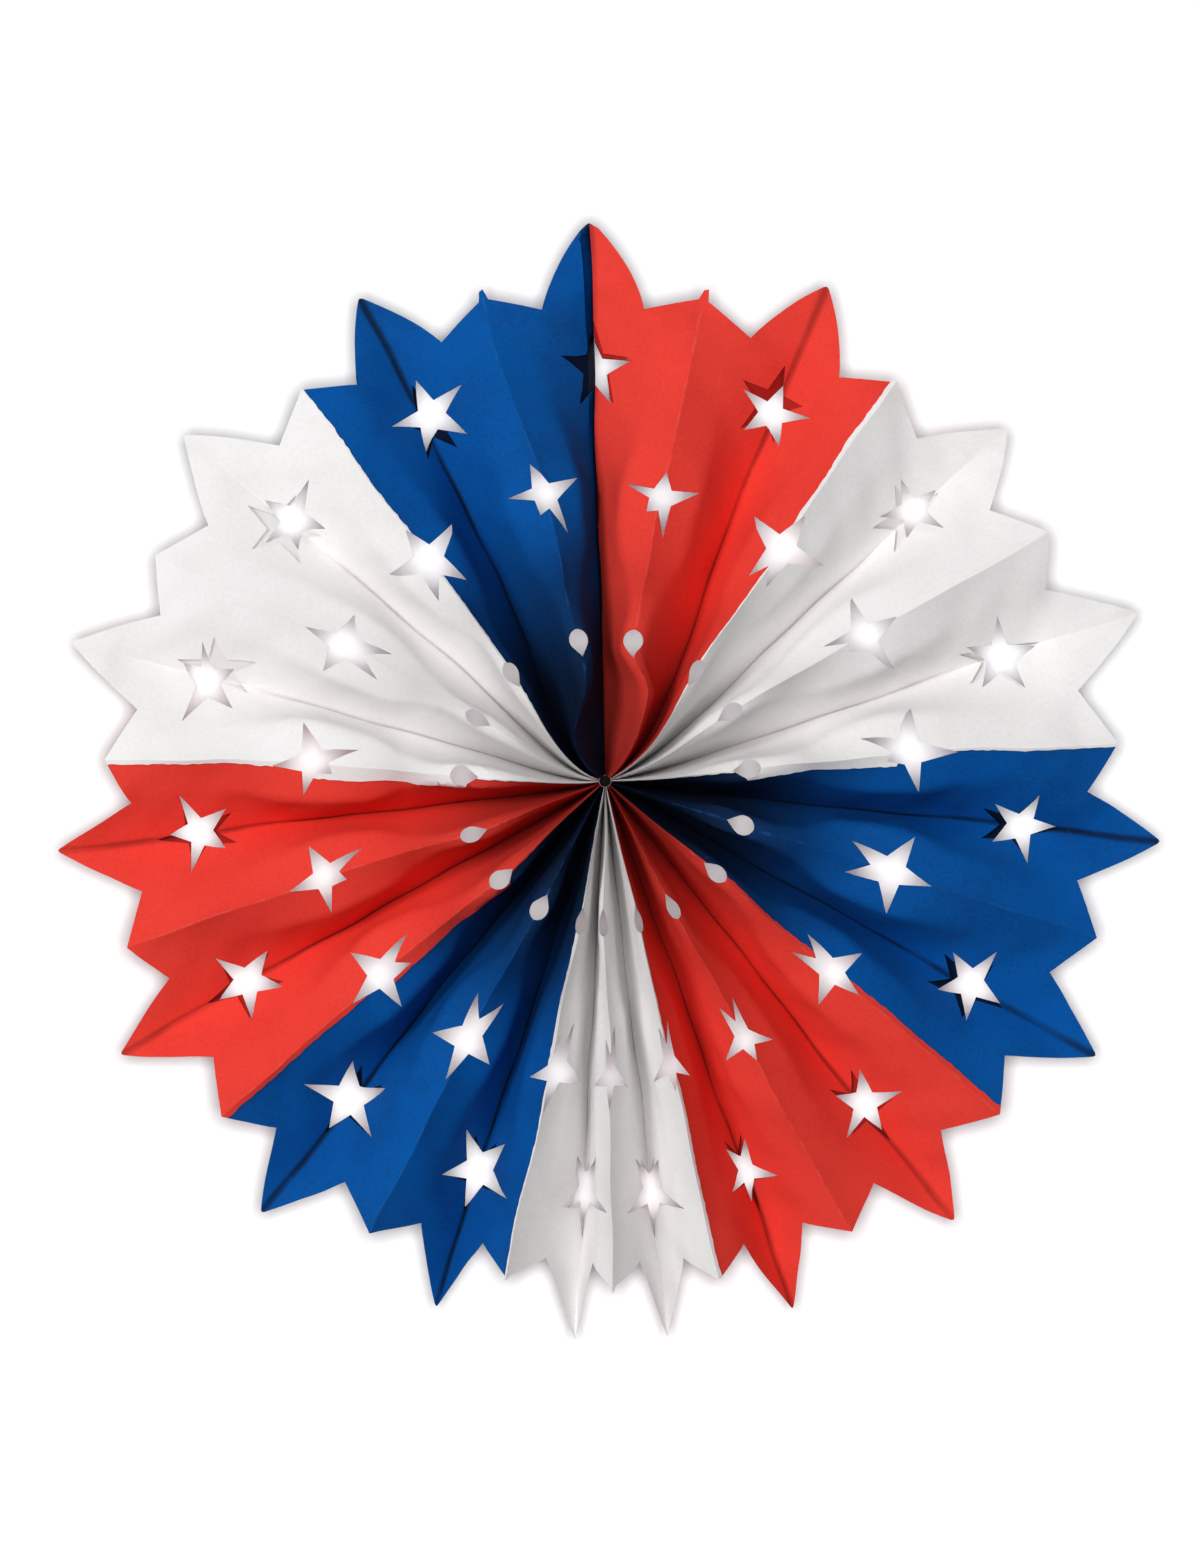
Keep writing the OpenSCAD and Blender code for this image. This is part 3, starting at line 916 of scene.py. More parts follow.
    def star_holes(self, star: StarCut, x: float) -> list[np.ndarray]:
        """Holes that one star makes in this ply.

        Args:
            star: The star as it shows.
            x: Place of its fold in the flat sheet.

        Returns:
            The holes, which may overlap.
        """
        hand, made = self.hand, [self.shown(star)]
        if star.fold % 2 == 0 and not self.back:
            jitter = self.rng.uniform(-hand.star_jitter, hand.star_jitter, 2)
            shift = np.array(star.ghost[::-1]) + jitter
            at = (x + shift[0], self.sizes.outer_star_at + shift[1])
            twist = self.rng.uniform(-hand.star_twist, hand.star_twist)
            made.append(self.loop(self.star(*at, twist)))
        return made

    def holes(self) -> list[np.ndarray]:
        """Cut all holes of this sheet, whole even where they run past its end.

        Returns:
            Their outlines.
        """
        start, made = first_fold(self.sheet), []
        for fold in range(start, end_fold(self.sheet) + 1):
            x = (fold - start) * self.sizes.pleat_w
            star = next(s for s in STARS if s.fold == fold % TURN_FOLDS)
            found = self.star_holes(replace(star, fold=fold), x)
            if self.back and fold == TURN_FOLDS:
                found = [np.stack([np.maximum(h[:, 0], x), h[:, 1]], axis=-1) for h in found]
            made += found
            if fold % 2 == 1:
                made.append(self.loop(self.teardrop(x), 1.6))
        if self.sheet == 0 and not self.back:
            made += [self.loop(list(half)) for half in (self.hand.seam_star, self.hand.seam_drop)]
        return made

    def fold_line(self, x: float, top: float, count: int) -> np.ndarray:
        """Points in a straight line from the hub outward."""
        return np.stack([np.full(count, x), np.linspace(self.sizes.hub_r, top, count)], axis=-1)

    def cut(self) -> tuple[np.ndarray, np.ndarray]:
        """Cut the sheet into triangles.

        Returns:
            The points, as place across the sheet and radius, and the triangles.
        """
        c, start = self.sizes, first_fold(self.sheet)
        width = (end_fold(self.sheet) - start) * c.pleat_w
        foot = [(0.0, c.hub_r), (width, c.hub_r)]
        outline = self.loop([*self.rim(), *self.lap(False), *foot, *self.lap(True)[::-1]])
        loops = [outline, *self.holes()]
        folds = []
        for k in range(0 if self.sheet else 1, end_fold(self.sheet) - start + 1):
            top = c.tip_r if (start + k) % 2 == 0 else c.point_r
            folds.append(self.fold_line(k * c.pleat_w, top, self.fold_points))
        if self.sheet == SHEETS - 1:
            seam = (TURN_FOLDS - start) * c.pleat_w
            folds += [
                self.fold_line(seam + x, top, self.seam_points) for x, top in self.seam_lines
            ]
        points, edges, segments = [], [], []
        for line, closed in [(p, True) for p in loops] + [(p, False) for p in folds]:
            n, at = len(line), sum(len(p) for p in points)
            ends = np.roll(line, -1, axis=0)
            keep = n if closed else n - 1
            points.append(line)
            edges += [(at + k, at + (k + 1) % n) for k in range(keep)]
            segments.append(np.stack([line[:keep], ends[:keep]], axis=1))
        points.append(self.filling(np.concatenate(segments), -self.margin, width + self.margin))
        flat = np.concatenate(points)
        found = delaunay_2d_cdt([Vector(p) for p in flat], edges, [], 0, 1e-5, False)
        xy = np.array([tuple(v) for v in found[0]])
        tris = np.array([f for f in found[2] if len(f) == 3])
        centres = xy[tris].mean(axis=1)
        keep = inside(outline, centres)
        for hole in loops[1:]:
            keep &= ~inside(hole, centres)
        tris = tris[keep]
        used, tris = np.unique(tris, return_inverse=True)
        return xy[used], tris.reshape(-1, 3)

    def filling(self, segments: np.ndarray, left: float, right: float) -> np.ndarray:
        """Scatter loose points between the lines, in a staggered grid that keeps off them.

        Args:
            segments: Both ends of every line.
            left: Where the grid starts across the sheet.
            right: Where it ends.

        Returns:
            The points.
        """
        c, step = self.sizes, self.step
        lines = []
        for k, row in enumerate(np.arange(c.hub_r + step / 2, c.tip_r, step * self.row_share)):
            x = np.arange(left + step * self.row_starts[k % 2], right, step)
            lines.append(np.stack([x, np.full(len(x), row)], axis=-1))
        grid = np.concatenate(lines)
        grid += self.rng.uniform(-self.jitter, self.jitter, grid.shape) * step
        a, way = segments[:, 0], segments[:, 1] - segments[:, 0]
        long = np.maximum((way**2).sum(axis=1), 1e-9)
        near = np.full(len(grid), np.inf)
        batch = 64
        for start in range(0, len(a), batch):
            part = slice(start, start + batch)
            to = grid[:, None] - a[None, part]
            f = np.clip((to * way[None, part]).sum(axis=2) / long[part], 0, 1)
            gap = to - f[..., None] * way[None, part]
            near = np.minimum(near, np.sqrt((gap**2).sum(axis=2)).min(axis=1))
        return grid[near > step * self.room]


def inside(polygon: np.ndarray, points: np.ndarray) -> np.ndarray:
    """Tell which points lie inside a polygon.

    Args:
        polygon: Corners in order.
        points: Points to test.

    Returns:
        True for each point inside.
    """
    answer = np.zeros(len(points), bool)
    low, high = polygon.min(axis=0), polygon.max(axis=0)
    maybe = np.flatnonzero(((points >= low) & (points <= high)).all(axis=1))
    if not len(maybe):
        return answer
    x, y = points[maybe, 0], points[maybe, 1]
    found = np.zeros(len(maybe), bool)
    for a, b in zip(polygon, np.roll(polygon, -1, axis=0)):
        if a[1] == b[1]:
            continue
        crosses = (a[1] > y) != (b[1] > y)
        found ^= crosses & (x < (b[0] - a[0]) * (y - a[1]) / (b[1] - a[1]) + a[0])
    answer[maybe] = found
    return answer


class Socket:
    """A node output that can be used in sums."""

    def __init__(self, graph: "Graph", output: bpy.types.NodeSocket) -> None:
        """Wrap an output of a graph."""
        self.graph, self.output = graph, output

    def _math(self, kind: str, first: object, second: object = 0.0) -> "Socket":
        """Add a Math node of one kind."""
        return self.graph.node("ShaderNodeMath", {"operation": kind}, {0: first, 1: second})

    def __add__(self, other: object) -> "Socket":
        """Sum."""
        return self._math("ADD", self, other)

    def __radd__(self, other: object) -> "Socket":
        """Sum with the socket last."""
        return self._math("ADD", other, self)

    def __sub__(self, other: object) -> "Socket":
        """Difference."""
        return self._math("SUBTRACT", self, other)

    def __rsub__(self, other: object) -> "Socket":
        """Difference with the socket last."""
        return self._math("SUBTRACT", other, self)

    def __mul__(self, other: object) -> "Socket":
        """Product."""
        return self._math("MULTIPLY", self, other)

    def __rmul__(self, other: object) -> "Socket":
        """Product with the socket last."""
        return self._math("MULTIPLY", other, self)

    def __truediv__(self, other: object) -> "Socket":
        """Quotient."""
        return self._math("DIVIDE", self, other)

    def __rtruediv__(self, other: object) -> "Socket":
        """Quotient with the socket last."""
        return self._math("DIVIDE", other, self)

    def __abs__(self) -> "Socket":
        """Size without its sign."""
        return self._math("ABSOLUTE", self)

    def rounded(self) -> "Socket":
        """Nearest whole number."""
        return self._math("ROUND", self)

    def fade(self, start: float, end: float) -> "Socket":
        """Ease the value from 0 to 1.

        Args:
            start: Value up to which the answer is 0.
            end: Value from which it is 1.

        Returns:
            The eased value.
        """
        return self.graph.node(
            "ShaderNodeMapRange",
            {"interpolation_type": "SMOOTHSTEP"},
            {"Value": self, "From Min": start, "From Max": end},
        )


class Graph:
    """The node tree of one material or world."""

    def __init__(self, tree: bpy.types.NodeTree) -> None:
        """Take over a tree and empty it."""
        self.tree = tree
        tree.nodes.clear()

    def node(
        self,
        kind: str,
        settings: dict | None = None,
        inputs: dict | None = None,
        output: object = 0,
    ) -> Socket:
        """Make one node.

        Args:
            kind: Type of the node.
            settings: Its settings, which are set first.
            inputs: Values or sockets by the input's number, identifier or name.
            output: Number or identifier of the output to hand back.

        Returns:
            That output, or the node itself if it has none.
        """
        made = self.tree.nodes.new(kind)
        for name, value in (settings or {}).items():
            setattr(made, name, value)
        for name, value in (inputs or {}).items():
            self.feed(self._find(made.inputs, name), value)
        return Socket(self, self._find(made.outputs, output)) if len(made.outputs) else made

    @staticmethod
    def _find(sockets: bpy.types.bpy_prop_collection, name: object) -> bpy.types.NodeSocket:
        """Find a socket.

        Args:
            sockets: Inputs or outputs of a node.
            name: Number, identifier or name.

        Returns:
            The socket.
        """
        if isinstance(name, int):
            return sockets[name]
        return next((s for s in sockets if s.identifier == name), None) or sockets[name]

    def feed(self, target: bpy.types.NodeSocket, value: object) -> None:
        """Link a socket or set a value.

        Args:
            target: The input.
            value: What goes into it.
        """
        if isinstance(value, Socket):
            self.tree.links.new(value.output, target)
        else:
            target.default_value = value

    def mix(self, factor: object, first: object, second: object) -> Socket:
        """Mix two colours.

        Args:
            factor: Share of the second one.
            first: Colour at 0.
            second: Colour at 1.

        Returns:
            The mixed colour.
        """
        return self.node(
            "ShaderNodeMix",
            {"data_type": "RGBA", "blend_type": "MIX"},
            {"Factor_Float": factor, "A_Color": first, "B_Color": second},
            "Result_Color",
        )

    def noise(self, vector: Socket, scale: float, detail: float, rough: float) -> Socket:
        """Add a noise.

        Args:
            vector: Where on the surface.
            scale: Spots to the metre.
            detail: Finer layers.
            rough: Weight of those layers.

        Returns:
            The noise, from 0 to 1.
        """
        return self.node(
            "ShaderNodeTexNoise",
            {"noise_dimensions": "3D"},
            {"Vector": vector, "Scale": scale, "Detail": detail, "Roughness": rough},
        )

    def stretched(self, vector: Socket, scale: Triple) -> Socket:
        """Multiply a vector part by part."""
        return self.node("ShaderNodeVectorMath", {"operation": "MULTIPLY"}, {0: vector, 1: scale})

    def bumps(self, height: Socket, strength: float, distance: float) -> Socket:
        """Turn a height into bumps.

        Args:
            height: The height.
            strength: Strength of the bumps.
            distance: Their depth in metres.

        Returns:
            The bumpy normal.
        """
        values = {"Strength": strength, "Distance": distance, "Height": height}
        return self.node("ShaderNodeBump", None, values)

    def close(self, colour: Socket, rough: object, normal: Socket, specular: float) -> None:
        """Give a material its shader.

        Args:
            colour: Base colour.
            rough: Roughness.
            normal: Bumpy normal.
            specular: Level of its sheen.
        """
        shader = self.node(
            "ShaderNodeBsdfPrincipled",
            None,
            {
                "Base Color": colour,
                "Roughness": rough,
                "Normal": normal,
                "Specular IOR Level": specular,
            },
        )
        self.node("ShaderNodeOutputMaterial", None, {"Surface": shader})


def linear(text: str) -> tuple[float, float, float, float]:
    """Colour that a node needs, from a hex colour as seen on screen.

    Args:
        text: Colour such as "#ee3a2e".

    Returns:
        Red, green, blue and alpha in linear light.
    """
    parts = [int(text[k : k + 2], 16) / 255 for k in (1, 3, 5)]
    light = [c / 12.92 if c <= 0.04045 else ((c + 0.055) / 1.055) ** 2.4 for c in parts]
    return (light[0], light[1], light[2], 1.0)


def new_material(name: str) -> tuple[bpy.types.Material, Graph]:
    """Make an empty material.

    Args:
        name: Its name.

    Returns:
        The material and its graph.
    """
    material = bpy.data.materials.new(name)
    material.use_nodes = True
    return material, Graph(material.node_tree)


@dataclass(frozen=True)
class PaperFinish:
    """Dyed matte paper with fibres, clouds and fine creases, darker near every fold, with painted
    shade at the hub and along the valleys and a ridge line that is part painted highlight and
    part wear.
    """

    slot: str
    base: str
    deep: str
    ridge_highlight_and_wear: str
    # Painted shade between the plies: the colour of the back ply's face toward the front ply.
    inside: str
    # Colour of the painted shade at the hub and along the valley folds.
    painted_shade_colour: str
    # Painted shade along the valley folds: its strength, and the radius in mm where it ends over
    # its fade.
    valley_shade: float = 0.5
    valley_shade_end: float = 400.0
    valley_shade_fade: float = 40.0
    # Painted shade toward the hub: its strength, the radius in mm within which it is full, and
    # where it ends.
    hub_shade: float = 0.5
    hub_core: float = 22.0
    hub_reach: float = 115.0
    cloud: float = 0.5
    blotch: float = 0.35
    mottle: float = 0.9
    fibre: float = 0.5
    grain: float = 0.3
    deep_level: float = 0.32
    # Strength of the lighter ridge line, part painted highlight and part wear.
    ridge_highlight_and_wear_share: float = 0.35
    near_fold_darkening_share: float = 0.3
    fine_crease: float = 0.12
    bump: float = 0.35
    bump_m: float = 0.00025
    rough: float = 0.82
    rough_spread: float = 0.12
    specular: float = 0.08

    def between(self) -> "PaperFinish":
        """Plain darker copy of the paper for the back ply's face toward the front ply: painted
        shade between the plies.
        """
        plain = self.inside
        return replace(self, slot=f"{self.slot}_inside", base=plain, deep=plain, ridge_highlight_and_wear=plain)

    def make(self, sizes: FanSizes) -> bpy.types.Material:
        """Make the material.

        Args:
            sizes: Sizes of the fan, for the distance between folds.

        Returns:
            The material.
        """
        material, graph = new_material(self.slot)
        uv = graph.node("ShaderNodeUVMap", {"uv_map": "flat"})
        across = graph.node("ShaderNodeSeparateXYZ", None, {0: uv})
        folds = across / (sizes.pleat_w * MM)
        off_fold = abs(folds - folds.rounded()) * sizes.pleat_w
        clouds = graph.noise(uv, 24.0, 4.0, 0.55)
        blotch = graph.noise(uv, 120.0, 3.0, 0.6)
        fibres = graph.noise(graph.stretched(uv, (620.0, 1500.0, 1.0)), 1.0, 3.0, 0.65)
        grain = graph.noise(uv, 2400.0, 2.0, 0.6)
        cells = graph.node(
            "ShaderNodeTexVoronoi",
            {"feature": "DISTANCE_TO_EDGE"},
            {"Vector": graph.stretched(uv, (34.0, 15.0, 1.0)), "Scale": 1.0},
            "Distance",
        )
        creases = (1.0 - cells.fade(0.0, 0.012)) * blotch.fade(0.5, 0.62)
        pairs = folds * 0.5
        off_valley = abs(pairs - pairs.rounded()) * (2 * sizes.pleat_w)
        radius = graph.node("ShaderNodeSeparateXYZ", None, {0: uv}, 1) / MM
        # Painted shade: a dark, patchy band along each valley fold, fading out toward the rim.
        valley_shade_mask = (1.0 - off_valley.fade(0.4, 3.2)) * (clouds.fade(0.2, 0.6) * 0.6 + 0.4)
        lasting = radius.fade(self.valley_shade_end - self.valley_shade_fade, self.valley_shade_end)
        valley_shade_mask = valley_shade_mask * (1.0 - lasting)
        # Painted shade: the paper darkens toward the hub, where the deep pleats fall into shade.
        painted_hub_shade = (1.0 - radius.fade(self.hub_core, self.hub_reach)) * self.hub_shade
        mottle = graph.noise(uv, 520.0, 3.0, 0.7)
        tone = (clouds - 0.5) * self.cloud + (blotch - 0.5) * self.blotch
        tone = tone + (mottle - 0.5) * self.mottle
        tone = tone + (fibres - 0.5) * self.fibre + (grain - 0.5) * self.grain
        # Lighter, patchy line along the ridges: part painted highlight where the ridges catch the
        # light, part wear of the folds; the fine creases are lightened with it.
        ridge_highlight_and_wear = (1.0 - off_fold.fade(0.1, 1.3)) * blotch.fade(0.42, 0.62) * self.ridge_highlight_and_wear_share
        ridge_highlight_and_wear = ridge_highlight_and_wear * off_valley.fade(3.0, 8.0)
        # Darker, patchy, within a few millimetres of every fold.
        near_fold_darkening = (1.0 - off_fold.fade(0.3, 6.0)) * clouds.fade(0.35, 0.7) * self.near_fold_darkening_share
        deep, painted_shade_colour = linear(self.deep), linear(self.painted_shade_colour)
        colour = graph.mix((tone + self.deep_level).fade(0.0, 1.0), linear(self.base), deep)
        colour = graph.mix(near_fold_darkening, colour, deep)
        colour = graph.mix(painted_hub_shade, colour, painted_shade_colour)
        colour = graph.mix(valley_shade_mask * self.valley_shade, colour, painted_shade_colour)
        colour = graph.mix(ridge_highlight_and_wear + creases * self.fine_crease, colour, linear(self.ridge_highlight_and_wear))
        height = fibres * 0.35 + grain * 0.3 + blotch * 0.9 + creases * 0.5
        bumps = graph.bumps(height, self.bump, self.bump_m)
        rough = (blotch - 0.5) * self.rough_spread + self.rough
        graph.close(colour, rough, bumps, self.specular)
        return material


@dataclass(frozen=True)
class ThreadFinish:
    """Twisted cotton thread, coloured dark as painted shade of the recess at the hub."""

    slot: str = "thread"
    # Dark thread colours: painted shade of the recessed hub, not the thread's own pale colour.
    base: str = "#1d1917"
    deep: str = "#0c0a09"
    bump: float = 0.6
    bump_m: float = 0.0001
    rough: float = 0.85
    specular: float = 0.1

    def make(self) -> bpy.types.Material:
        """Make the material.

        Returns:
            The material.
        """
        material, graph = new_material(self.slot)
        place = graph.node("ShaderNodeTexCoord", None, None, "Object")
        lint = graph.noise(graph.stretched(place, (1.0, 3.0, 1.0)), 1800.0, 3.0, 0.6)
        twist = graph.node(
            "ShaderNodeTexWave",
            {"wave_type": "BANDS", "bands_direction": "DIAGONAL"},
            {"Vector": place, "Scale": 900.0, "Distortion": 1.5},
            "Fac",
        )
        colour = graph.mix(lint * 0.5 + twist * 0.5, linear(self.deep), linear(self.base))
        bumps = graph.bumps(lint + twist, self.bump, self.bump_m)
        graph.close(colour, self.rough, bumps, self.specular)
        return material


def add_object(name: str, data: bpy.types.ID) -> bpy.types.Object:
    """Make an object and link it to the scene.

    Args:
        name: Name of the object.
        data: Its mesh, light or camera.

    Returns:
        The object.
    """
    made = bpy.data.objects.new(name, data)
    bpy.context.scene.collection.objects.link(made)
    return made


def make_mesh(name: str, points: np.ndarray, faces: np.ndarray) -> bpy.types.Object:
    """Make an object from points in millimetres.

    Args:
        name: Name of the object.
        points: Its points.
        faces: Its triangles.

    Returns:
        The object, linked to the scene.
    """
    mesh = bpy.data.meshes.new(name)
    mesh.from_pydata(points * MM, [], faces)
    mesh.update()
    return add_object(name, mesh)


def tube_faces(rows: int, ring: int) -> np.ndarray:
    """Triangles of a closed tube.

    Args:
        rows: How many rings of points it has.
        ring: How many points are in each.

    Returns:
        The triangles of its side and then of its two ends.
    """
    i, j = np.meshgrid(np.arange(rows - 1), np.arange(ring), indexing="ij")
    p, q = i * ring + j, i * ring + (j + 1) % ring
    faces = [np.stack([p, q, q + ring], -1), np.stack([p, q + ring, p + ring], -1)]
    end = np.array([(0, k + 1, k) for k in range(1, ring - 1)])
    faces += [end, end[:, ::-1] + (rows - 1) * ring]
    return np.concatenate([f.reshape(-1, 3) for f in faces])


@dataclass
class PaperPly:
    """One ply of one sheet."""

    folds: FoldField
    sheet: int
    side: Side
    hue: Hue
    turn: int
    finish: bpy.types.Material
    inner: bpy.types.Material
    step: float
    first_seed: int = 100
    sharp_from: float = 24.0
    piece: bpy.types.Object | None = None

    @property
    def node(self) -> str:
        """Name of the CAD node that the ply stands for."""
        return f"{self.hue.value}_{self.turn}_{self.side.value}"

    def build(self) -> "PaperPly":
        """Cut the ply flat, fold it and give it its thickness.

        Returns:
            The ply itself.
        """
        sizes, back = self.folds.sizes, self.side is Side.BACK
        rng = np.random.default_rng(self.first_seed + 2 * self.sheet + back)
        flat, faces = StripPattern(self.folds, self.sheet, back, self.step, rng).cut()
        across = first_fold(self.sheet) + flat[:, 0] / sizes.pleat_w
        front, thick = self.folds.place(self.sheet, back, across, flat[:, 1])
        behind = front.copy()
        behind[:, 1] += thick
        n = len(flat)
        sides = np.concatenate([faces[:, [0, 1]], faces[:, [1, 2]], faces[:, [2, 0]]])
        keys = np.sort(sides, axis=1)
        _, where, count = np.unique(keys, axis=0, return_index=True, return_counts=True)
        a, b = sides[where[count == 1]].T
        walls = [np.stack([b, a, a + n], axis=1), np.stack([b, a + n, b + n], axis=1)]
        tris = np.concatenate([faces, faces[:, ::-1] + n, *walls])
        self.piece = make_mesh(f"ply_{self.node}", np.concatenate([front, behind]), tris)
        mesh = self.piece.data
        uv = np.stack([across * sizes.pleat_w, flat[:, 1]], axis=-1) * MM
        uv = np.concatenate([uv, uv])
        layer = mesh.uv_layers.new(name="flat")
        layer.data.foreach_set("uv", uv[tris.ravel()].astype(np.float32).ravel())
        mesh.shade_smooth()
        mesh.set_sharp_from_angle(angle=math.radians(self.sharp_from))
        # The back ply's faces toward the front ply take the second material, the painted shade
        # between the plies.
        if back:
            between = np.zeros(len(tris), np.int32)
            between[: len(faces)] = 1
            mesh.polygons.foreach_set("material_index", between)
        return self

    def dress(self) -> "PaperPly":
        """Give the ply its paper and put it in the place of its node.

        Returns:
            The ply itself.
        """
        self.piece.data.materials.append(self.finish)
        # Second material: painted shade between the plies.
        if self.side is Side.BACK:
            self.piece.data.materials.append(self.inner)
        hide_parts(self.node)
        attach(self.piece, "root")
        log.info("%s: %d faces", self.node, len(self.piece.data.polygons))
        return self


@dataclass
class PaperFan:
    """All plies of the nine sheets."""

    sizes: FanSizes
    hand: Handwork
    finishes: dict[Hue, PaperFinish]
    front_step: float = 3.0
    back_step: float = 4.5
    plies: list[PaperPly] = field(default_factory=list)

    def build(self) -> "PaperFan":
        """Build the plies clockwise from the seam, the front one of each sheet first.

        Returns:
            The fan itself.
        """
        folds = FoldField(self.sizes, self.hand)
        papers = {hue: finish.make(self.sizes) for hue, finish in self.finishes.items()}
        # Painted shade between the plies: a darker plain copy of each paper for the back plies.
        inner = {hue: finish.between().make(self.sizes) for hue, finish in self.finishes.items()}
        hues = list(Hue)
        for sheet in range(SHEETS):
            round_number, place = divmod(sheet, len(hues))
            hue = hues[place]
            for side, step in ((Side.FRONT, self.front_step), (Side.BACK, self.back_step)):
                paper = (papers[hue], inner[hue])
                ply = PaperPly(folds, sheet, side, hue, round_number + 1, *paper, step)
                self.plies.append(ply.build())
        return self

    def dress(self) -> "PaperFan":
        """Dress every ply.

        Returns:
            The fan itself.
        """
        for ply in self.plies:
            ply.dress()
        return self


@dataclass
class CentreTie:
    """Thread wound round the hub where the pleats are drawn together, drawn into a knot at each
    end.
    """

    r: float = 2.7
    length: float = 46.0
    thread_r: float = 0.36
    thread_sides: int = 8
    # Pitch of the winding in thread radii, its points to a turn, and what its ends leave free.
    pitch: float = 2.05
    turn_points: int = 22
    spare: float = 1.2
    end_gap: float = 0.12
    least_r: float = 0.25
    core_rows: int = 60
    core_sides: int = 20
    core_least_r: float = 0.05
    piece: bpy.types.Object | None = None

    def build(self) -> "CentreTie":
        """Sweep one thread over the front knot, along the hub and over the back knot.

        Returns:
            The tie itself.
        """
        path, ring = self.path(), self.thread_sides
        way = np.gradient(path, axis=0)
        way /= np.linalg.norm(way, axis=1)[:, None]
        out = np.cross(way, [0.0, 1.0, 0.0])
        out /= np.maximum(np.linalg.norm(out, axis=1), 1e-6)[:, None]
        up = np.cross(out, way)
        a = np.linspace(0, 2 * np.pi, ring, endpoint=False)
        tube = path[:, None] + self.thread_r * (
            out[:, None] * np.cos(a)[None, :, None] + up[:, None] * np.sin(a)[None, :, None]
        )
        points = tube.reshape(-1, 3)
        core_points, core_faces = self.core()
        faces = np.concatenate([tube_faces(len(path), ring), core_faces + len(points)])
        self.piece = make_mesh("tie_thread", np.concatenate([points, core_points]), faces)
        self.piece.data.shade_smooth()
        return self

    def dome(self, y: np.ndarray, r: float) -> np.ndarray:
        """Radius of the tie at y, drawn in over the knots."""
        past = np.maximum(0, np.abs(y) - (self.length / 2 - self.r))
        return r * np.sqrt(np.maximum(0.0, 1 - (past / self.r) ** 2))

    def path(self) -> np.ndarray:
        """Wind the thread.

        Returns:
            Its middle line.
        """
        turns = (self.length - self.spare) / (self.pitch * self.thread_r)
        t = np.linspace(-1, 1, int(turns * self.turn_points))
        y = t * (self.length / 2 - self.thread_r - self.end_gap)
        r = np.maximum(self.dome(y, self.r - self.thread_r), self.least_r)
        a = 2 * np.pi * turns * (t + 1) / 2
        return np.stack([r * np.cos(a), y, r * np.sin(a)], axis=-1)

    def core(self) -> tuple[np.ndarray, np.ndarray]:
        """Fill the inside of the winding.

        Returns:
            Points and triangles of the fill.
        """
        y = np.linspace(-1, 1, self.core_rows) * (self.length / 2 - 2 * self.thread_r)
        r = np.maximum(self.dome(y, self.r - 2 * self.thread_r), self.core_least_r)[:, None]
        a = np.linspace(0, 2 * np.pi, self.core_sides, endpoint=False)
        along = np.repeat(y[:, None], self.core_sides, axis=1)
        points = np.stack([r * np.cos(a), along, r * np.sin(a)], axis=-1).reshape(-1, 3)
        return points, tube_faces(self.core_rows, self.core_sides)[:, ::-1]

    def dress(self) -> "CentreTie":
        """Give the tie its thread and put it in the place of its node.

        Returns:
            The tie itself.
        """
        self.piece.data.materials.append(ThreadFinish().make())
        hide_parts("centre_tie")
        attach(self.piece, "root")
        log.info("centre_tie: %d faces", len(self.piece.data.polygons))
        return self


@dataclass(frozen=True)
class Lamp:
    """A square soft lamp: where it stands and how long its sides are, in metres, and its power.

    Power is the light that it throws on a surface facing it at the fan, 10 being about full.
    It lights the fan alone, or else the wall alone.
    """

    name: str
    place: Triple
    size: float
    power: float
    on_wall: bool = False


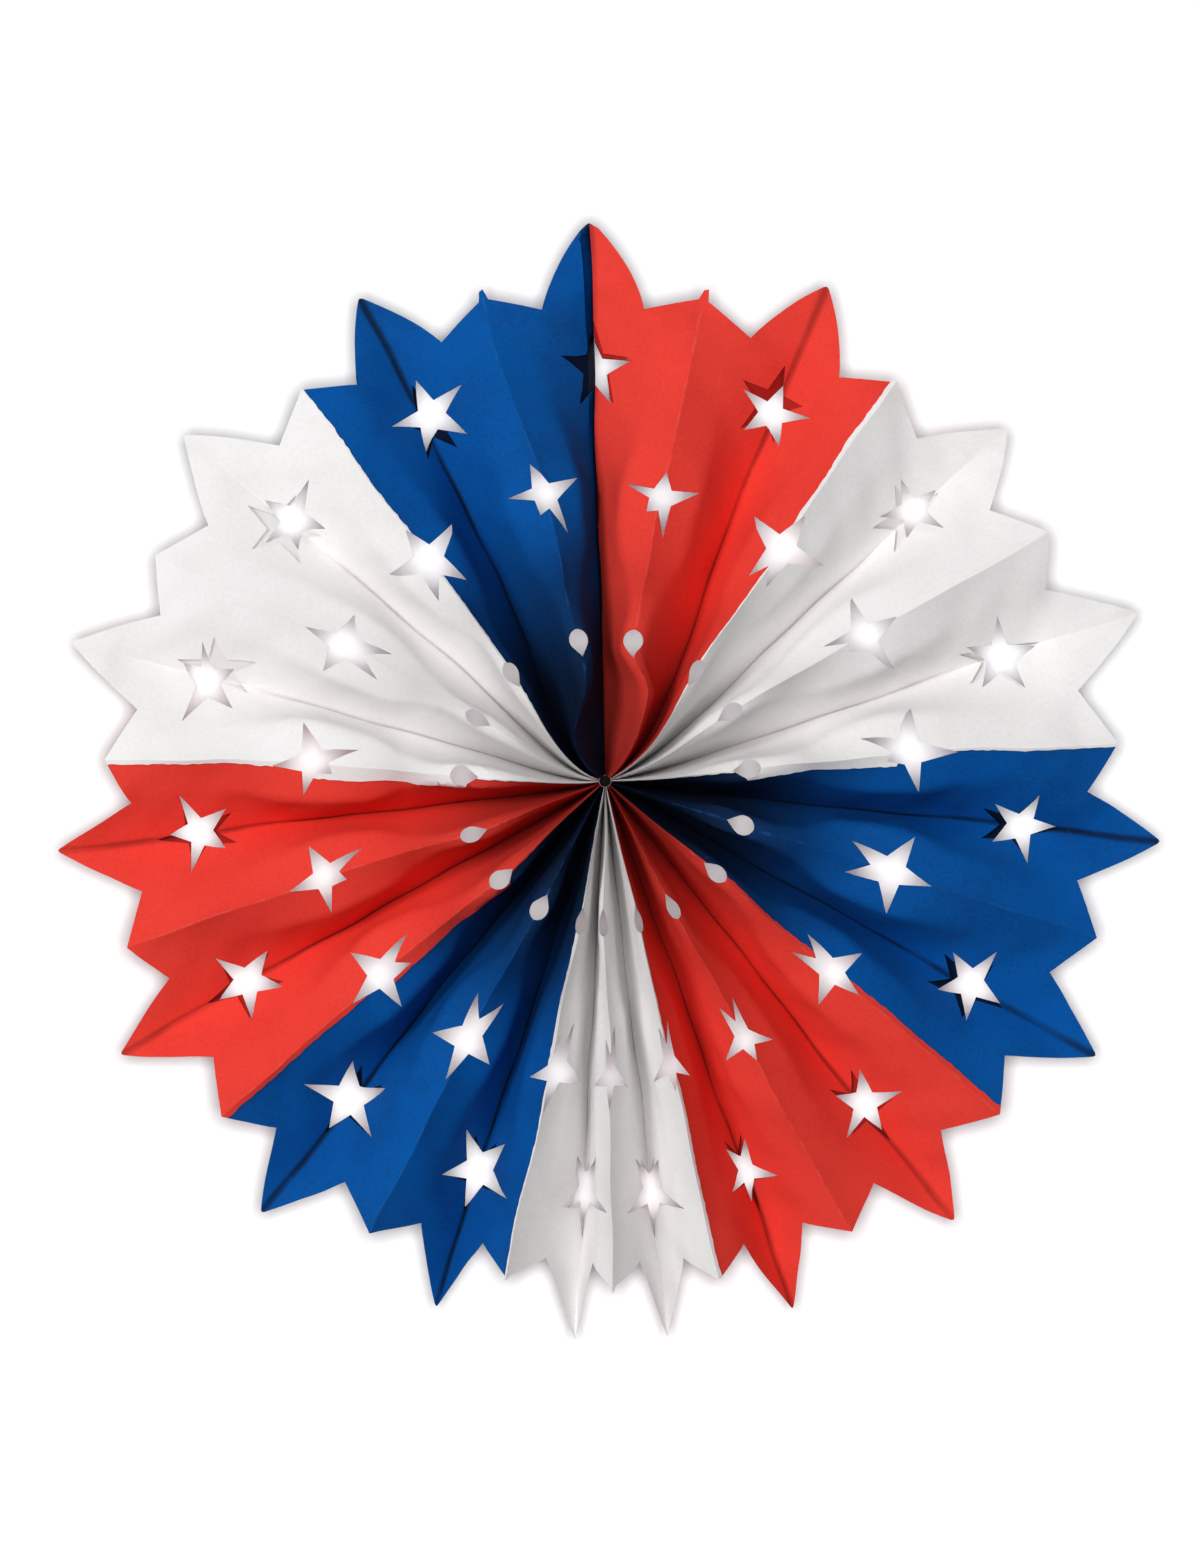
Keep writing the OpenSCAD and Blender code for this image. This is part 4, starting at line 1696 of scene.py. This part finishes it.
@dataclass
class Studio:
    """Pale wall behind the fan, soft lamps and a white surround. Lengths are in metres."""

    fan: list[bpy.types.Object]
    wall_y: float = 0.1
    wall_half: float = 3.0
    glow: float = 0.06
    dim: float = 0.1
    lamps: tuple[Lamp, ...] = (
        Lamp("key", (-1.45, -2.4, 0.5), 0.9, 4.4),
        Lamp("front", (-0.1, -2.9, 0.3), 0.7, 5.0),
        Lamp("wash", (-0.002, -2.5, 0.001), 0.3, 12.6, on_wall=True),
        Lamp("rear_left", (-1.2, 2.0, 1.0), 1.4, 1.1),
        Lamp("rear_right", (1.4, 1.6, 0.4), 1.4, 0.66),
    )

    def build(self) -> "Studio":
        """Put up the wall and the lamps.

        Returns:
            The studio itself.
        """
        wall = self.wall()
        self.surround()
        for lamp in self.lamps:
            self.light(lamp, [wall] if lamp.on_wall else self.fan)
        return self

    def wall(self) -> bpy.types.Object:
        """Put up the wall that the fan hangs before, seen from the front only.

        Returns:
            The wall.
        """
        corners = ((-1, 0, -1), (1, 0, -1), (1, 0, 1), (-1, 0, 1))
        points = np.array(corners) * self.wall_half / MM
        made = make_mesh("wall", points, np.array([(0, 1, 2), (0, 2, 3)]))
        made.location.y = self.wall_y
        material, graph = new_material("wall_paint")
        place = graph.node("ShaderNodeTexCoord", None, None, "Object")
        grain = graph.noise(place, 60.0, 3.0, 0.5)
        paint = graph.mix(grain, linear("#f2f2f2"), linear("#f6f6f6"))
        matte = graph.node("ShaderNodeBsdfDiffuse", None, {"Color": paint})
        glow = graph.node("ShaderNodeEmission", None, {"Strength": 1.0})
        seen = graph.node("ShaderNodeLightPath", None, None, "Is Camera Ray")
        lit = graph.node("ShaderNodeMixShader", None, {0: seen * self.glow, 1: matte, 2: glow})
        shadow = graph.node("ShaderNodeLightPath", None, None, "Is Shadow Ray")
        behind = graph.node("ShaderNodeNewGeometry", None, None, "Backfacing")
        clear = graph.node("ShaderNodeBsdfTransparent")
        gone = graph.node("ShaderNodeMath", {"operation": "MAXIMUM"}, {0: shadow, 1: behind})
        out = graph.node("ShaderNodeMixShader", None, {0: gone, 1: lit, 2: clear})
        graph.node("ShaderNodeOutputMaterial", None, {"Surface": out})
        made.data.materials.append(material)
        return made

    def surround(self) -> None:
        """White to the camera, and a dim even light on everything."""
        world = bpy.data.worlds.new("surround")
        bpy.context.scene.world = world
        world.use_nodes = True
        graph = Graph(world.node_tree)
        seen = graph.node("ShaderNodeLightPath", None, None, "Is Camera Ray")
        dim, white = (
            graph.node(
                "ShaderNodeBackground", None, {"Color": linear("#ffffff"), "Strength": strength}
            )
            for strength in (self.dim, 1.0)
        )
        mixed = graph.node("ShaderNodeMixShader", None, {0: seen, 1: dim, 2: white})
        graph.node("ShaderNodeOutputWorld", None, {"Surface": mixed})

    def light(self, lamp: Lamp, lit: list[bpy.types.Object]) -> None:
        """Set up a lamp that points at the fan.

        Args:
            lamp: The lamp.
            lit: Objects that it lights.
        """
        data = bpy.data.lights.new(lamp.name, "AREA")
        data.shape, data.size = "SQUARE", lamp.size
        away = Vector(lamp.place).length
        data.energy = lamp.power * POWER_UNIT * math.pi * math.pi * away**2
        made = add_object(lamp.name, data)
        made.location = lamp.place
        made.rotation_euler = Vector(lamp.place).to_track_quat("Z", "Y").to_euler()
        receivers = bpy.data.collections.new(f"lit_by_{lamp.name}")
        for one in lit:
            receivers.objects.link(one)
        made.light_linking.receiver_collection = receivers


@dataclass
class PhotoCamera:
    """Camera straight in front of the fan, as the photo was taken. Lengths are in metres."""

    distance: float = 3.0
    height_mm: float = 744.2
    aim: tuple[float, float] = (-0.0024, 0.0012)
    sensor_mm: float = 36.0

    def build(self) -> "PhotoCamera":
        """Make the camera and the scene's current one.

        Returns:
            The camera itself.
        """
        data = bpy.data.cameras.new("photo_camera")
        data.sensor_width = self.sensor_mm
        data.lens = self.sensor_mm * self.distance / (self.height_mm * MM)
        data.clip_start, data.clip_end = 0.05, 50.0
        data.dof.use_dof = False
        made = add_object("photo_camera", data)
        made.location = (self.aim[0], -self.distance, self.aim[1])
        made.rotation_euler = (math.pi / 2, 0.0, 0.0)
        bpy.context.scene.camera = made
        return self


def main() -> None:
    """Build, dress and light the fan."""
    logging.basicConfig(level=logging.INFO, format="%(message)s")
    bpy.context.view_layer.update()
    bpy.context.scene.view_settings.view_transform = "Standard"
    PhotoCamera().build()
    # Each paper's colours: base, deep, ridge highlight and wear, painted shade between the plies,
    # and painted shade at the hub and along the valleys.
    finishes = {
        Hue.RED: PaperFinish(
            "red_paper", "#f24438", "#da3831", "#f8655a", "#b02420", "#641a16",
            valley_shade=0.5, hub_shade=0.45,
        ),
        Hue.WHITE: PaperFinish(
            "white_paper", "#f8f6f6", "#e9e6e4", "#fcfbfb", "#efecea", "#a39a96",
            valley_shade=0.3, valley_shade_end=190.0, hub_shade=0.08,
        ),
        Hue.BLUE: PaperFinish(
            "blue_paper", "#0257a8", "#0a3f7b", "#2266b0", "#051530", "#0d1728",
            cloud=0.9, valley_shade=0.85, hub_shade=0.94, hub_core=42.0, hub_reach=150.0,
        ),
    }
    fan = PaperFan(FanSizes(), Handwork(), finishes).build().dress()
    tie = CentreTie().build().dress()
    Studio([*(ply.piece for ply in fan.plies), tie.piece]).build()


if __name__ == "__main__":
    main()
